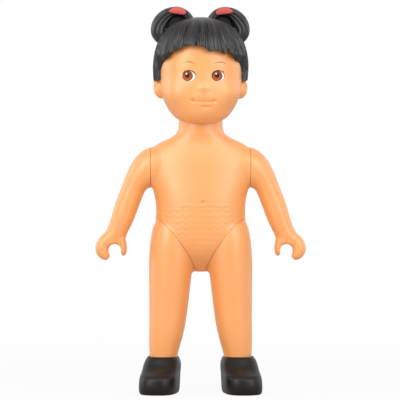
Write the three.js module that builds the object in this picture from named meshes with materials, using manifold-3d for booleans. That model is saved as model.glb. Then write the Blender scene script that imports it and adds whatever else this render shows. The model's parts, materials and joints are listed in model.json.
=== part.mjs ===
// A jointed play doll with moulded hair, hands that clip onto a bar, and shoes.
// Units are millimetres and +Z is up. The doll faces -Y, so its left hand is on +X.
// The origin is on the floor, under the middle of the doll.
import * as THREE from "three";
import { mergeVertices } from "three/addons/utils/BufferGeometryUtils.js";
import Module from "manifold-3d";

const wasm = await Module();
wasm.setup();

// Walls and gaps
const WALL = 2; // every hollow moulding
const JOINT_GAP = 0.3; // between two faces that turn on each other
const SEAM_GAP = 0.1; // between the front and the back half of a moulding
const FIT = 0.3; // between a glued or pressed piece and its seat

// Axles: spools that hold two mouldings together, with a flange inside each of them
const AXLE_DIAMETER = 4.4;
const AXLE_FLANGE = 7.6;
const AXLE_FLANGE_THICK = 1.5;

// Legs, measured down from the crotch
const THIGH_DROP = 1.7; // crotch to the full round of the thigh
const THIGH_LENGTH = 13.7; // to the middle of the knee
const CALF_DROP = 10.2; // knee to the calf
const SHIN_LENGTH = 10.3; // calf to the ankle
const ANKLE_SHOWS = 0.8; // of the ankle above the shoe
const ANKLE_IN_SHOE = 6.4; // of the ankle inside the shoe
const THIGH_WIDTH = 18.4;
const THIGH_DEPTH = 20;
const KNEE_WIDTH = 17;
const KNEE_DEPTH = 17.6;
const CALF_WIDTH = 15.4;
const CALF_DEPTH = 16.2;
const ANKLE_WIDTH = 13;
const ANKLE_DEPTH = 13.2;
const LEG_SPAN = 44.2; // over the outsides of both legs
const HAUNCH_BULGE = 1.5; // fullness of the outer thigh under the hip joint

// Shoes
const SHOE_HEIGHT = 15.4; // floor to the collar
const SHOE_LENGTH = 27.4;
const SHOE_WIDTH = 16.6;
const SHOE_HEEL = 9.4; // middle of the ankle to the back of the heel
const SHOE_OUT = 0.8; // middle of the sole outside the middle of the ankle
const HEEL_LEAN = 0.4; // heel drawn in below the collar
const TOE_WALL = 5.2; // floor to where the toe starts to round over
const TOE_ROUND = 3.2; // from there to the top of the toe
const COLLAR_WALL = 0.9; // shoe around the ankle
const INSTEP_SHARE = 0.2; // of the way from collar to toe that the hollow instep reaches
const SHOE_EDGE = 1.3; // rounding along the sole
const TOE_OUT = 10; // degrees that each foot turns outwards
const SOLE_THICK = 2;
const INSOLE_THICK = 1.6; // floor that the ankle stands on

// Hip joints: flat discs, each turning on an axle square to it
const HIP_DISC = 26;
const HIP_DROP = 37.4; // degrees that the axle points down
const HIP_FORWARD = 14; // degrees that the axle points forwards
const CROTCH_WIDTH = 6.4; // tongue of the trunk between the two discs
const CROTCH_LIP = 0.9; // of the tongue below the discs

// Trunk, measured up from the crotch
const SEAT_RISE = 12.9;
const HIP_RISE = 8.4; // seat to the top of the hip joints
const WAIST_RISE = 5.6;
const ARMPIT_RISE = 9;
const NECK_SLOPE = 7; // top of the shoulders to the foot of the neck
const NECK_LENGTH = 6.3; // foot of the neck to its top, inside the head
const SEAT_WIDTH = 41.2; // before the hip discs cut it
const SEAT_FRONT = 12.9;
const SEAT_BACK = 14.2;
const CROTCH_SWEEP = 1.6; // power of the curve from the crotch up into the belly
const HIP_WIDTH = 38.8;
const WAIST_WIDTH = 38;
const BELLY_FRONT = 13.4;
const WAIST_BACK = 11.6;
const CHEST_WIDTH = 54; // before the shoulder discs cut it
const CHEST_FRONT = 11.6;
const CHEST_BACK = 11;
const COLLAR_FRONT = 9.2;
const COLLAR_BACK = 9.9;
const NECK_DIAMETER = 19;
const NECK_SWEEP = 1.45; // power of the curve from the shoulders into the neck

// Shoulder joints and arms. An arm row is measured from the row before it.
const SHOULDER_SPAN = 42.4; // between the two shoulder joints
const SHOULDER_DISC = 17.2;
const SHOULDER_CAP_OUT = 3.2; // disc to the cap of the shoulder
const SHOULDER_CAP_DOWN = 1;
const SHOULDER_CAP_WIDTH = 16;
const SHOULDER_CAP_DEPTH = 16.2;
const SHOULDER_OUT = 2.6; // cap to the round of the shoulder
const SHOULDER_DOWN = 3.4;
const SHOULDER_WIDTH = 12.8;
const SHOULDER_DEPTH = 13.8;
const UPPER_ARM_OUT = 3.9;
const UPPER_ARM_DOWN = 9.7;
const UPPER_ARM_WIDTH = 10.6;
const UPPER_ARM_DEPTH = 11.2;
const FOREARM_OUT = 2.9;
const FOREARM_DOWN = 9;
const FOREARM_WIDTH = 10;
const FOREARM_DEPTH = 10;
const WRIST_OUT = 1.3;
const WRIST_DOWN = 3.4;
const WRIST_WIDTH = 9.2;
const WRIST_DEPTH = 8.4;
const SHOULDER_CAP_LEAN = 14; // degrees that the arm points below level at each row
const SHOULDER_LEAN = 32;
const UPPER_ARM_LEAN = 66;
const FOREARM_LEAN = 75;
const WRIST_LEAN = 79;

// Hands: a finger and a thumb round an open bore
const GRIP_BORE = 5.7;
const PALM_OUT = 2.2; // wrist to the middle of the bore
const PALM_DOWN = 10.1;
const PALM_ROUND = 4.5; // of the round wrist that runs on into the palm
const PALM_TAPER = 0.5; // how much that end is narrower than the wrist, on each side
const KNUCKLE_RISE = 2.6; // widest part of the hand above the middle of the bore
const KNUCKLE_ROUND = 1.5; // rounding of the hand above and below its widest part
const FINGER_THICK = 4.9;
const FINGER_REACH = 4.2; // below the middle of the bore
const FINGER_WRAP = 30; // degrees that the finger goes on round the bore below its middle
const THUMB_THICK = 2.3;
const THUMB_REACH = 1.7;
const THUMB_WRAP = 20;
const TIP_ROUND = 0.6; // rounding of the tips of finger and thumb
const HAND_THICK = 6.8;

// Head, measured up from the chin
const CHIN_DROP = 3.6; // chin below the top of the neck
const JAW_RISE = 14; // chin to the cheeks
const BROW_RISE = 12; // cheeks to the brow
const CROWN_RISE = 16.2; // brow to the top of the skull
const CHEEK_WIDTH = 34;
const BROW_WIDTH = 34.4;
const FACE_FRONT = 18.4;
const BROW_FRONT = 18;
const HEAD_BACK = 17.8;
const CHIN_SWEEP = 0.3; // power of the curve from the chin up into the face
const HEAD_TURN = 3; // degrees that the head looks to the doll's left
const HEAD_SEAM_BACK = 1.5; // parting of the head behind the neck's middle
const EAR_HEIGHT = 8.4;
const EAR_DEPTH = 5.4;
const EAR_THICK = 5.9;
const EAR_TUCK = 0.4; // top of the ear above the end of the hair
const NOSE_WIDTH = 4.2;
const NOSE_HEIGHT = 3.6;
const NOSE_OUT = 1.3; // of the face

// Hair
const HAIR_THICK = 3.3;
const SIDEBURN_RISE = 19.2; // chin to the ends of the hair beside the face
const NAPE_RISE = 9; // chin to the hairline at the back
const FACE_OPENING = 34; // width between the sideburns
const FRINGE_RISE = 33.7; // chin to the middle of the fringe
const FRINGE_ARCH = 9.2; // height of the fringe's arch
const FRINGE_TIPS = 8; // jagged ends of the locks along the fringe
const TIP_DROP = 1.3; // tips of the fringe below the notches between them
const LOCKS = 21; // locks of hair round the cap, an odd number so that both sides match
const LOCK_DEPTH = 0.9; // hollows between the locks
const BUN_SPAN = 21.8; // between the middles of the two hair loops
const BUN_DROP = 2.4; // middle of a loop below the top of the skull
const BUN_BACK = 2; // loops behind the neck's middle
const BUN_RADIUS = 8; // to the middle of the strand
const BUN_STRAND = 4.8; // strand's thickness across the loop
const BUN_DEPTH = 8.6; // strand's thickness from front to back
const BUN_WEB = 1.8; // web that closes the loop behind
const BUN_START = -75; // degrees round the loop from its outside over its top, inside the cap
const BUN_END = 195;
const TIE_ANGLE = 106; // middle of the tie, measured the same way
const TIE_THICK = 1;
const TIE_LENGTH = 7.6; // along the strand

// How finely round shapes are cut, and how square their corners are: 2 is an ellipse
const SIDES = 14;
const TRUNK_SIDES = 22;
const AXLE_SIDES = 12;
const BUN_SIDES = 10;
const BUN_STEPS = 16; // along a whole loop
const TIE_STEPS = 6; // along a tie
const CURVE_STEPS = 5; // along each curve of an outline
const NECK_STEPS = 4; // up the slope to the neck
const DOME_START = 14; // degrees from the pole to the first ring of a rounded end
const SEAT_RINGS = 3;
const JAW_RINGS = 4;
const CROWN_RINGS = 4;
const ELLIPSE = 2;
const HEAD_SQUARE = 2.2;
const TRUNK_SQUARE = 2.3;
const SHOE_SQUARE = 2.6;
const TENSION = 0.5; // of the curves through the rows
const THINNEST = 0.5; // half-width of the narrowest hollow
const HOLLOW_SHARE = 0.1; // most that the hollows between locks take of a narrow cross-section
const REACH = 400; // half-space blocks are larger than the doll

const DEGREE = Math.PI / 180;
const FRONT = new THREE.Vector3(0, -1, 0);
const BACK = new THREE.Vector3(0, 1, 0);
const UP = new THREE.Vector3(0, 0, 1);
const DOWN = new THREE.Vector3(0, 0, -1);
const LEFT = new THREE.Vector3(1, 0, 0);
const RIGHT = new THREE.Vector3(-1, 0, 0);
const OTHER_SIDE = new THREE.Vector3(-1, 1, 1); // multiplies a left-hand place into a right-hand one

// Levels of the joints: the crotch above the floor, the others above the crotch
const crotchLevel =
  SHOE_HEIGHT + ANKLE_SHOWS + SHIN_LENGTH + CALF_DROP + THIGH_LENGTH + THIGH_DROP;
const armpitRise = SEAT_RISE + HIP_RISE + WAIST_RISE + ARMPIT_RISE;
const neckTopRise = armpitRise + SHOULDER_DISC + NECK_SLOPE + NECK_LENGTH;
const shoulderCentre = new THREE.Vector3(SHOULDER_SPAN / 2, 0, armpitRise + SHOULDER_DISC / 2);

// The left hip joint, in the trunk's frame: its axle, its disc's slope and front, and its centre
const hipAxle = new THREE.Vector3(
  Math.cos(HIP_DROP * DEGREE) * Math.cos(HIP_FORWARD * DEGREE),
  -Math.sin(HIP_FORWARD * DEGREE),
  -Math.sin(HIP_DROP * DEGREE) * Math.cos(HIP_FORWARD * DEGREE),
);
const hipSlope = new THREE.Vector3(Math.sin(HIP_DROP * DEGREE), 0, Math.cos(HIP_DROP * DEGREE));
const hipFront = hipAxle.clone().cross(hipSlope);
const hipCentre = new THREE.Vector3(CROTCH_WIDTH / 2, 0, CROTCH_LIP);
hipCentre.addScaledVector(hipSlope, HIP_DISC / 2);

// Levels in the head, above the top of the neck, and the middle of the left hair loop
const cheekRise = JAW_RISE - CHIN_DROP;
const browRise = cheekRise + BROW_RISE;
const crownRise = browRise + CROWN_RISE;
const sideburnRise = SIDEBURN_RISE - CHIN_DROP;
const bunCentre = new THREE.Vector3(BUN_SPAN / 2, BUN_BACK, crownRise - BUN_DROP);

// Finishes
const skin = { color: 0xf2b27c, roughness: 0.45, metalness: 0 };
const hairFinish = { color: 0x26262a, roughness: 0.4, metalness: 0 };
const tieFinish = { color: 0xc8413f, roughness: 0.4, metalness: 0 };
const shoeFinish = { color: 0x241d1b, roughness: 0.4, metalness: 0 };
const soleFinish = { color: 0x191615, roughness: 0.6, metalness: 0 };
const axleFinish = { color: 0xd8d5cc, roughness: 0.5, metalness: 0 };

// A named piece of the doll
function named(name, geometry, finish) {
  const mesh = new THREE.Mesh(geometry, new THREE.MeshStandardMaterial(finish));
  mesh.name = name;
  return mesh;
}

// A three.js geometry as a solid, with its faces turned outwards
function solid(geometry) {
  const bare = new THREE.BufferGeometry();
  bare.setAttribute("position", geometry.getAttribute("position"));
  bare.setIndex(geometry.index);
  const merged = mergeVertices(bare, 1e-4);
  const points = merged.getAttribute("position");
  const corner = [0, 1, 2].map(() => new THREE.Vector3());
  const faces = [];
  let volume = 0;
  for (let i = 0; i < merged.index.count; i += 3) {
    const face = [0, 1, 2].map((k) => merged.index.getX(i + k));
    if (new Set(face).size < face.length) continue;
    face.forEach((vertex, k) => corner[k].fromBufferAttribute(points, vertex));
    volume += corner[0].dot(corner[1].clone().cross(corner[2]));
    faces.push(face);
  }
  if (volume < 0) faces.forEach((face) => face.reverse());
  const mesh = new wasm.Mesh({
    numProp: 3,
    vertProperties: new Float32Array(points.array),
    triVerts: new Uint32Array(faces.flat()),
  });
  return new wasm.Manifold(mesh);
}

// A solid as a three.js geometry
function geometryOf(body) {
  const mesh = body.getMesh();
  const geometry = new THREE.BufferGeometry();
  geometry.setAttribute("position", new THREE.BufferAttribute(mesh.vertProperties, 3));
  geometry.setIndex(new THREE.BufferAttribute(mesh.triVerts, 1));
  geometry.computeVertexNormals();
  return geometry;
}

// The same geometry on the other side of the doll
function mirrored(geometry) {
  const other = geometry.clone().scale(...OTHER_SIDE);
  const faces = other.index;
  for (let i = 0; i < faces.count; i += 3) {
    const second = faces.getX(i + 1);
    faces.setX(i + 1, faces.getX(i + 2));
    faces.setX(i + 2, second);
  }
  other.computeVertexNormals();
  return other;
}

function otherSide(vector) {
  return vector.clone().multiply(OTHER_SIDE);
}

// Everything on the side of a plane that its direction points to
function halfSpace(point, direction) {
  const block = new THREE.BoxGeometry(REACH, REACH, REACH).translate(0, 0, REACH / 2);
  block.applyQuaternion(new THREE.Quaternion().setFromUnitVectors(UP, direction));
  return solid(block.translate(...point));
}

function above(height) {
  return halfSpace(new THREE.Vector3(0, 0, height), UP);
}

function below(height) {
  return halfSpace(new THREE.Vector3(0, 0, height), DOWN);
}

// A round bar whose middle is at a point
function bar(point, direction, diameter, length, sides = AXLE_SIDES) {
  const round = new THREE.CylinderGeometry(diameter / 2, diameter / 2, length, sides);
  round.applyQuaternion(new THREE.Quaternion().setFromUnitVectors(BACK, direction));
  return solid(round.translate(...point));
}

// A ball squashed to three sizes, round a point
function ball(point, wide, deep, tall) {
  const round = new THREE.SphereGeometry(1 / 2, SIDES, SIDES / 2).scale(wide, deep, tall);
  return solid(round.translate(...point));
}

// A cross-section of a lofted piece: two half-axes round a centre, and how square its corners are
function section(centre, across, deep, square = ELLIPSE) {
  return { centre, across, deep, square };
}

// A level cross-section that reaches to the front and the back of the doll's middle
function row(height, width, front, back, square) {
  const centre = new THREE.Vector3(0, (back - front) / 2, height);
  const across = new THREE.Vector3(width / 2, 0, 0);
  return section(centre, across, new THREE.Vector3(0, -(front + back) / 2, 0), square);
}

// The same cross-sections grown all round, or shrunk by a wall where the size is negative
function grown(sections, size) {
  const longer = (half) => half.clone().setLength(Math.max(half.length() + size, THINNEST));
  return sections.map((s) => ({ ...s, across: longer(s.across), deep: longer(s.deep) }));
}

// The given cross-sections with one more between each two, along smooth curves
function smoothed(sections) {
  const curveOf = (key) => {
    const places = sections.map((s) => s[key]);
    return new THREE.CatmullRomCurve3(places, false, "catmullrom", TENSION);
  };
  const [centre, across, deep] = ["centre", "across", "deep"].map(curveOf);
  const last = 2 * (sections.length - 1);
  const result = [];
  for (let i = 0; i <= last; i++) {
    const [before, after] = [sections[Math.floor(i / 2)], sections[Math.ceil(i / 2)]];
    const square = (before.square + after.square) / 2;
    const t = i / last;
    result.push(section(centre.getPoint(t), across.getPoint(t), deep.getPoint(t), square));
  }
  return result;
}

// A closed skin over cross-sections, with flat ends and every other corner drawn in by a hollow
function loft(sections, sides = SIDES, hollow = 0) {
  const points = [];
  const faces = [];
  const rounded = (value, square) => Math.sign(value) * Math.abs(value) ** (2 / square);
  for (const s of sections)
    for (let i = 0; i < sides; i++) {
      const angle = (2 * Math.PI * (i + 1 / 2)) / sides;
      const corner = new THREE.Vector3()
        .addScaledVector(s.across, rounded(Math.cos(angle), s.square))
        .addScaledVector(s.deep, rounded(Math.sin(angle), s.square));
      const drawnIn = (i % 2) * Math.min(hollow, corner.length() * HOLLOW_SHARE);
      corner.setLength(corner.length() - drawnIn);
      points.push(corner.add(s.centre));
    }
  for (let r = 0; r + 1 < sections.length; r++)
    for (let i = 0; i < sides; i++) {
      const a = r * sides + i;
      const b = r * sides + ((i + 1) % sides);
      faces.push(a, b, b + sides, a, b + sides, a + sides);
    }
  const last = (sections.length - 1) * sides;
  const firstCentre = points.length;
  points.push(sections[0].centre, sections.at(-1).centre);
  for (let i = 0; i < sides; i++) {
    const j = (i + 1) % sides;
    faces.push(firstCentre, j, i, firstCentre + 1, last + i, last + j);
  }
  const geometry = new THREE.BufferGeometry().setFromPoints(points);
  geometry.setIndex(faces);
  return solid(geometry);
}

// Angles of the rings of a rounded end, from near its pole to just before its full width
function domeAngles(rings) {
  const step = (90 - DOME_START) / rings;
  return Array.from({ length: rings }, (_, i) => (DOME_START + i * step) * DEGREE);
}

// The two halves of a moulding that parts on a plane facing the front
function frontHalf(body, seam = 0) {
  return body.intersect(halfSpace(new THREE.Vector3(0, seam - SEAM_GAP / 2, 0), FRONT));
}

function backHalf(body, seam = 0) {
  return body.intersect(halfSpace(new THREE.Vector3(0, seam + SEAM_GAP / 2, 0), BACK));
}

// A spool whose shaft passes through two walls that meet at its middle, along its joint's axis
function axle(name, direction) {
  const walls = WALL + JOINT_GAP / 2 + FIT;
  const end = walls + AXLE_FLANGE_THICK;
  const profile = [
    [0, -end],
    [AXLE_FLANGE / 2, -end],
    [AXLE_FLANGE / 2, -walls],
    [AXLE_DIAMETER / 2, -walls],
    [AXLE_DIAMETER / 2, walls],
    [AXLE_FLANGE / 2, walls],
    [AXLE_FLANGE / 2, end],
    [0, end],
  ];
  const corners = profile.map(([x, y]) => new THREE.Vector2(x, y));
  const mesh = named(name, new THREE.LatheGeometry(corners, AXLE_SIDES), axleFinish);
  mesh.quaternion.setFromUnitVectors(BACK, direction);
  mesh.position.copy(direction).multiplyScalar(JOINT_GAP / 2);
  return mesh;
}

// The hole that an axle runs in, with room for its flanges behind both walls
function axleRoom(point, direction) {
  const wall = WALL + JOINT_GAP / 2;
  const deep = AXLE_FLANGE_THICK + 2 * FIT;
  const along = (distance) => point.clone().addScaledVector(direction, JOINT_GAP / 2 + distance);
  const pocket = (way) =>
    bar(along(way * (wall + deep / 2)), direction, AXLE_FLANGE + 2 * FIT, deep);
  return bar(along(0), direction, AXLE_DIAMETER + 2 * FIT, 2 * wall + deep)
    .add(pocket(1))
    .add(pocket(-1));
}

// Trunk: rounded under the seat, full at the belly, sloping from the shoulders to the neck
function trunkRows() {
  const rows = [];
  const add = (height, width, front, back, square = TRUNK_SQUARE) =>
    rows.push(row(height, width, front, back, square));
  for (const angle of domeAngles(SEAT_RINGS)) {
    const size = Math.sin(angle);
    const height = SEAT_RISE * (Math.cos(DOME_START * DEGREE) - Math.cos(angle));
    add(height, SEAT_WIDTH * size, SEAT_FRONT * size ** CROTCH_SWEEP, SEAT_BACK * size);
  }
  let height = SEAT_RISE;
  add(height, SEAT_WIDTH, SEAT_FRONT, SEAT_BACK);
  height += HIP_RISE;
  add(height, HIP_WIDTH, (SEAT_FRONT + BELLY_FRONT) / 2, (SEAT_BACK + WAIST_BACK) / 2);
  height += WAIST_RISE;
  add(height, WAIST_WIDTH, BELLY_FRONT, WAIST_BACK);
  height += ARMPIT_RISE;
  add(height, SHOULDER_SPAN + 2 * JOINT_GAP, (BELLY_FRONT + CHEST_FRONT) / 2, CHEST_BACK);
  height += SHOULDER_DISC / 2;
  add(height, CHEST_WIDTH, CHEST_FRONT, CHEST_BACK);
  height += SHOULDER_DISC / 2;
  for (let i = 0; i <= NECK_STEPS; i++) {
    const t = i / NECK_STEPS;
    const spread = (SHOULDER_SPAN - NECK_DIAMETER) * (1 - t) ** NECK_SWEEP;
    const front = THREE.MathUtils.lerp(COLLAR_FRONT, NECK_DIAMETER / 2, t);
    const back = THREE.MathUtils.lerp(COLLAR_BACK, NECK_DIAMETER / 2, t);
    const square = THREE.MathUtils.lerp(TRUNK_SQUARE, ELLIPSE, t);
    add(height + t * NECK_SLOPE, NECK_DIAMETER + spread, front, back, square);
  }
  add(neckTopRise, NECK_DIAMETER, NECK_DIAMETER / 2, NECK_DIAMETER / 2, ELLIPSE);
  return rows;
}

// What the joints leave of the trunk, or of its hollow where a wall is given
function betweenJoints(body, wall) {
  const inHip = hipCentre.clone().addScaledVector(hipAxle, -wall);
  const inward = hipAxle.clone().negate();
  const inShoulder = new THREE.Vector3(SHOULDER_SPAN / 2 - wall, 0, 0);
  return body
    .intersect(halfSpace(inHip, inward))
    .intersect(halfSpace(otherSide(inHip), otherSide(inward)))
    .intersect(halfSpace(inShoulder, RIGHT))
    .intersect(halfSpace(otherSide(inShoulder), LEFT))
    .intersect(below(neckTopRise - wall));
}

function trunk() {
  const rows = trunkRows();
  const outside = betweenJoints(loft(smoothed(rows), TRUNK_SIDES), 0);
  const hollow = betweenJoints(loft(grown(rows.slice(1), -WALL), TRUNK_SIDES), WALL);
  const shell = outside
    .subtract(hollow)
    .subtract(axleRoom(shoulderCentre, LEFT))
    .subtract(axleRoom(otherSide(shoulderCentre), RIGHT))
    .subtract(axleRoom(hipCentre, hipAxle))
    .subtract(axleRoom(otherSide(hipCentre), otherSide(hipAxle)))
    .subtract(axleRoom(new THREE.Vector3(0, 0, neckTopRise), UP));
  const group = new THREE.Group();
  group.add(named("torso_front", geometryOf(frontHalf(shell)), skin));
  group.add(named("torso_back", geometryOf(backHalf(shell)), skin));
  group.position.z = crotchLevel;
  return group;
}

// Left arm, from the middle of its shoulder joint
function armRows() {
  const rows = [];
  const centre = new THREE.Vector3();
  const add = (out, down, lean, width, depth) => {
    centre.add(new THREE.Vector3(out, 0, -down));
    const across = new THREE.Vector3(Math.sin(lean * DEGREE), 0, Math.cos(lean * DEGREE));
    const deep = new THREE.Vector3(0, -depth / 2, 0);
    rows.push(section(centre.clone(), across.multiplyScalar(width / 2), deep));
  };
  add(-WALL, 0, 0, SHOULDER_DISC, SHOULDER_DISC);
  add(WALL, 0, 0, SHOULDER_DISC, SHOULDER_DISC);
  add(
    SHOULDER_CAP_OUT,
    SHOULDER_CAP_DOWN,
    SHOULDER_CAP_LEAN,
    SHOULDER_CAP_WIDTH,
    SHOULDER_CAP_DEPTH,
  );
  add(SHOULDER_OUT, SHOULDER_DOWN, SHOULDER_LEAN, SHOULDER_WIDTH, SHOULDER_DEPTH);
  add(UPPER_ARM_OUT, UPPER_ARM_DOWN, UPPER_ARM_LEAN, UPPER_ARM_WIDTH, UPPER_ARM_DEPTH);
  add(FOREARM_OUT, FOREARM_DOWN, FOREARM_LEAN, FOREARM_WIDTH, FOREARM_DEPTH);
  add(WRIST_OUT, WRIST_DOWN, WRIST_LEAN, WRIST_WIDTH, WRIST_DEPTH);
  return rows;
}

// Left hand round the middle of its bore, with the finger outside and the thumb inside
function hand() {
  const bore = GRIP_BORE / 2;
  const knuckle = bore + FINGER_THICK;
  const thumb = bore + THUMB_THICK;
  const [wristOut, wristIn] = [WRIST_WIDTH / 2 - PALM_OUT, -WRIST_WIDTH / 2 - PALM_OUT];
  const heel = PALM_DOWN - KNUCKLE_ROUND;
  const tip = -FINGER_REACH;
  const outline = new THREE.Shape();
  outline.moveTo(wristOut, PALM_DOWN);
  outline.bezierCurveTo(knuckle - KNUCKLE_ROUND, heel, knuckle, heel, knuckle, KNUCKLE_RISE);
  outline.bezierCurveTo(knuckle, tip / 2, bore + KNUCKLE_ROUND, tip, bore, tip);
  outline.quadraticCurveTo(bore - TIP_ROUND, tip, bore - TIP_ROUND, tip / 2);
  outline.absarc(0, 0, bore, -FINGER_WRAP * DEGREE, (180 + THUMB_WRAP) * DEGREE, false);
  outline.lineTo(-bore - TIP_ROUND, -THUMB_REACH);
  outline.quadraticCurveTo(-thumb, -THUMB_REACH - TIP_ROUND, -thumb, 0);
  outline.bezierCurveTo(-thumb, KNUCKLE_RISE, -thumb, heel - KNUCKLE_RISE, wristIn, PALM_DOWN);
  const geometry = new THREE.ExtrudeGeometry(outline, {
    depth: HAND_THICK,
    bevelEnabled: false,
    curveSegments: CURVE_STEPS,
  });
  return geometry.translate(0, 0, -HAND_THICK / 2).rotateX(Math.PI / 2);
}

function leftArm() {
  const rows = armRows();
  const wrist = rows.at(-1);
  const wayDown = new THREE.Vector3(PALM_OUT, 0, -PALM_DOWN);
  const bore = wrist.centre.clone().add(wayDown);
  const palm = section(
    wrist.centre.clone().add(wayDown.setLength(PALM_ROUND)),
    wrist.across.clone().setLength(WRIST_WIDTH / 2 - PALM_TAPER),
    wrist.deep.clone().setLength(HAND_THICK / 2 - FIT),
  );
  const outFrom = (gap) => halfSpace(new THREE.Vector3(gap, 0, 0), LEFT);
  const shell = loft(smoothed([...rows, palm]))
    .add(solid(hand().translate(...bore)))
    .intersect(outFrom(JOINT_GAP))
    .subtract(loft(grown(rows, -WALL)).intersect(outFrom(JOINT_GAP + WALL)))
    .subtract(axleRoom(new THREE.Vector3(), LEFT));
  return { arm_front: geometryOf(frontHalf(shell)), arm_back: geometryOf(backHalf(shell)) };
}

// Left leg, from the middle of its hip joint
function legRows() {
  const rows = [];
  const disc = (inside) =>
    section(
      hipAxle.clone().multiplyScalar(-inside),
      hipSlope.clone().multiplyScalar(HIP_DISC / 2),
      hipFront.clone().multiplyScalar(HIP_DISC / 2),
    );
  let height = -hipCentre.z;
  const add = (drop, width, depth) => {
    height -= drop;
    const centre = new THREE.Vector3((LEG_SPAN - width) / 2 - hipCentre.x, 0, height);
    const across = new THREE.Vector3(width / 2, 0, 0);
    rows.push(section(centre, across, new THREE.Vector3(0, -depth / 2, 0)));
  };
  add(THIGH_DROP, THIGH_WIDTH, THIGH_DEPTH);
  add(THIGH_LENGTH, KNEE_WIDTH, KNEE_DEPTH);
  add(CALF_DROP, CALF_WIDTH, CALF_DEPTH);
  add(SHIN_LENGTH, ANKLE_WIDTH, ANKLE_DEPTH);
  add(ANKLE_SHOWS + ANKLE_IN_SHOE, ANKLE_WIDTH, ANKLE_DEPTH);
  const [top, thigh] = [disc(0), rows[0]];
  const halfway = (key) => top[key].clone().add(thigh[key]).divideScalar(2);
  const haunch = section(halfway("centre"), halfway("across"), halfway("deep"));
  haunch.centre.x += HAUNCH_BULGE / 2;
  haunch.across.x += HAUNCH_BULGE / 2;
  return [disc(WALL), top, haunch, ...rows];
}

function leftLeg() {
  const rows = legRows();
  const end = rows.at(-1).centre;
  const pastDisc = (gap) => halfSpace(hipAxle.clone().multiplyScalar(gap), hipAxle);
  const hollow = loft(grown(rows, -WALL))
    .intersect(pastDisc(JOINT_GAP + WALL))
    .intersect(above(end.z + WALL));
  const shell = loft(smoothed(rows))
    .intersect(pastDisc(JOINT_GAP))
    .subtract(hollow)
    .subtract(axleRoom(new THREE.Vector3(), hipAxle));
  const ankle = loft(grown(smoothed(rows.slice(-2)), FIT)).intersect(above(end.z - FIT));
  return {
    leg_front: geometryOf(frontHalf(shell)),
    leg_back: geometryOf(backHalf(shell)),
    ...leftShoe(end, ankle),
  };
}

// Left shoe and its sole, under an ankle that ends at a point
function leftShoe(ankleEnd, ankle) {
  const floor = ankleEnd.z + ANKLE_IN_SHOE - SHOE_HEIGHT;
  const toe = SHOE_LENGTH - SHOE_HEEL;
  const turn = new THREE.Quaternion().setFromAxisAngle(UP, TOE_OUT * DEGREE);
  const level = (height, out, width, front, back, square = SHOE_SQUARE) => {
    const s = row(height, width, front, back, square);
    s.centre.applyQuaternion(turn).add(new THREE.Vector3(ankleEnd.x + out, 0, floor));
    s.across.applyQuaternion(turn);
    s.deep.applyQuaternion(turn);
    return s;
  };
  const toeTop = TOE_WALL + TOE_ROUND;
  const collarWide = ANKLE_WIDTH + 2 * (FIT + COLLAR_WALL);
  const collarDeep = ANKLE_DEPTH / 2 + FIT + COLLAR_WALL;
  const instepWide = (SHOE_WIDTH + collarWide) / 2;
  const instep = THREE.MathUtils.lerp(collarDeep, toe, INSTEP_SHARE);
  const heel = SHOE_HEEL - HEEL_LEAN;
  const rimWide = SHOE_WIDTH - 2 * SHOE_EDGE;
  const rows = [
    level(0, SHOE_OUT, rimWide, toe - SHOE_EDGE, SHOE_HEEL - SHOE_EDGE),
    level(SHOE_EDGE, SHOE_OUT, SHOE_WIDTH, toe, SHOE_HEEL),
    level(TOE_WALL, SHOE_OUT, SHOE_WIDTH, toe, SHOE_HEEL),
    level(toeTop, SHOE_OUT, SHOE_WIDTH - SHOE_EDGE, toe - 2 * SHOE_EDGE, SHOE_HEEL),
    level((toeTop + SHOE_HEIGHT) / 2, SHOE_OUT / 2, instepWide, instep, heel, TRUNK_SQUARE),
    level(SHOE_HEIGHT, 0, collarWide, collarDeep, collarDeep, ELLIPSE),
  ];
  const [, edge, toeWall, toeRound] = rows;
  const underside = level(-WALL, SHOE_OUT, SHOE_WIDTH, toe, SHOE_HEEL);
  const inside = grown([underside, edge, toeWall, toeRound], -WALL);
  const hollow = loft(inside).intersect(below(ankleEnd.z - FIT - INSOLE_THICK));
  const shoe = loft(rows).subtract(hollow).subtract(ankle);
  const sole = loft(grown(inside, -FIT))
    .intersect(above(floor))
    .intersect(below(floor + SOLE_THICK));
  return { shoe: geometryOf(shoe), sole: geometryOf(sole) };
}

// Head, from the top of the neck at its middle, grown where the hair goes round it
function headRows(grow) {
  const rows = [];
  const add = (height, width, front, back) =>
    rows.push(row(height, width, front, back, HEAD_SQUARE));
  for (const angle of domeAngles(JAW_RINGS)) {
    const size = Math.sin(angle);
    const flat = JAW_RISE * (1 - Math.cos(DOME_START * DEGREE)) * (1 - size);
    const height = cheekRise - JAW_RISE * Math.cos(angle) - flat;
    add(height, CHEEK_WIDTH * size, FACE_FRONT * size ** CHIN_SWEEP, HEAD_BACK * size);
  }
  add(cheekRise, CHEEK_WIDTH, FACE_FRONT, HEAD_BACK);
  add(browRise, BROW_WIDTH, BROW_FRONT, HEAD_BACK);
  for (const angle of domeAngles(CROWN_RINGS).reverse()) {
    const size = Math.sin(angle);
    const height = browRise + (CROWN_RISE + grow) * Math.cos(angle);
    add(height, BROW_WIDTH * size, BROW_FRONT * size, HEAD_BACK * size);
  }
  return grown(rows, grow);
}

function skullSkin(grow) {
  return loft(smoothed(headRows(grow)), TRUNK_SIDES);
}

// The outside of the hair, with hollows between its locks
function capSkin(grow) {
  return loft(smoothed(headRows(HAIR_THICK + grow)), 2 * LOCKS, LOCK_DEPTH);
}

function ear(side, grow) {
  const height = sideburnRise + EAR_TUCK - EAR_HEIGHT / 2;
  const centre = new THREE.Vector3((side * CHEEK_WIDTH) / 2, HEAD_SEAM_BACK - EAR_DEPTH / 2, height);
  return ball(centre, EAR_THICK + 2 * grow, EAR_DEPTH + 2 * grow, EAR_HEIGHT + 2 * grow);
}

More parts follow.
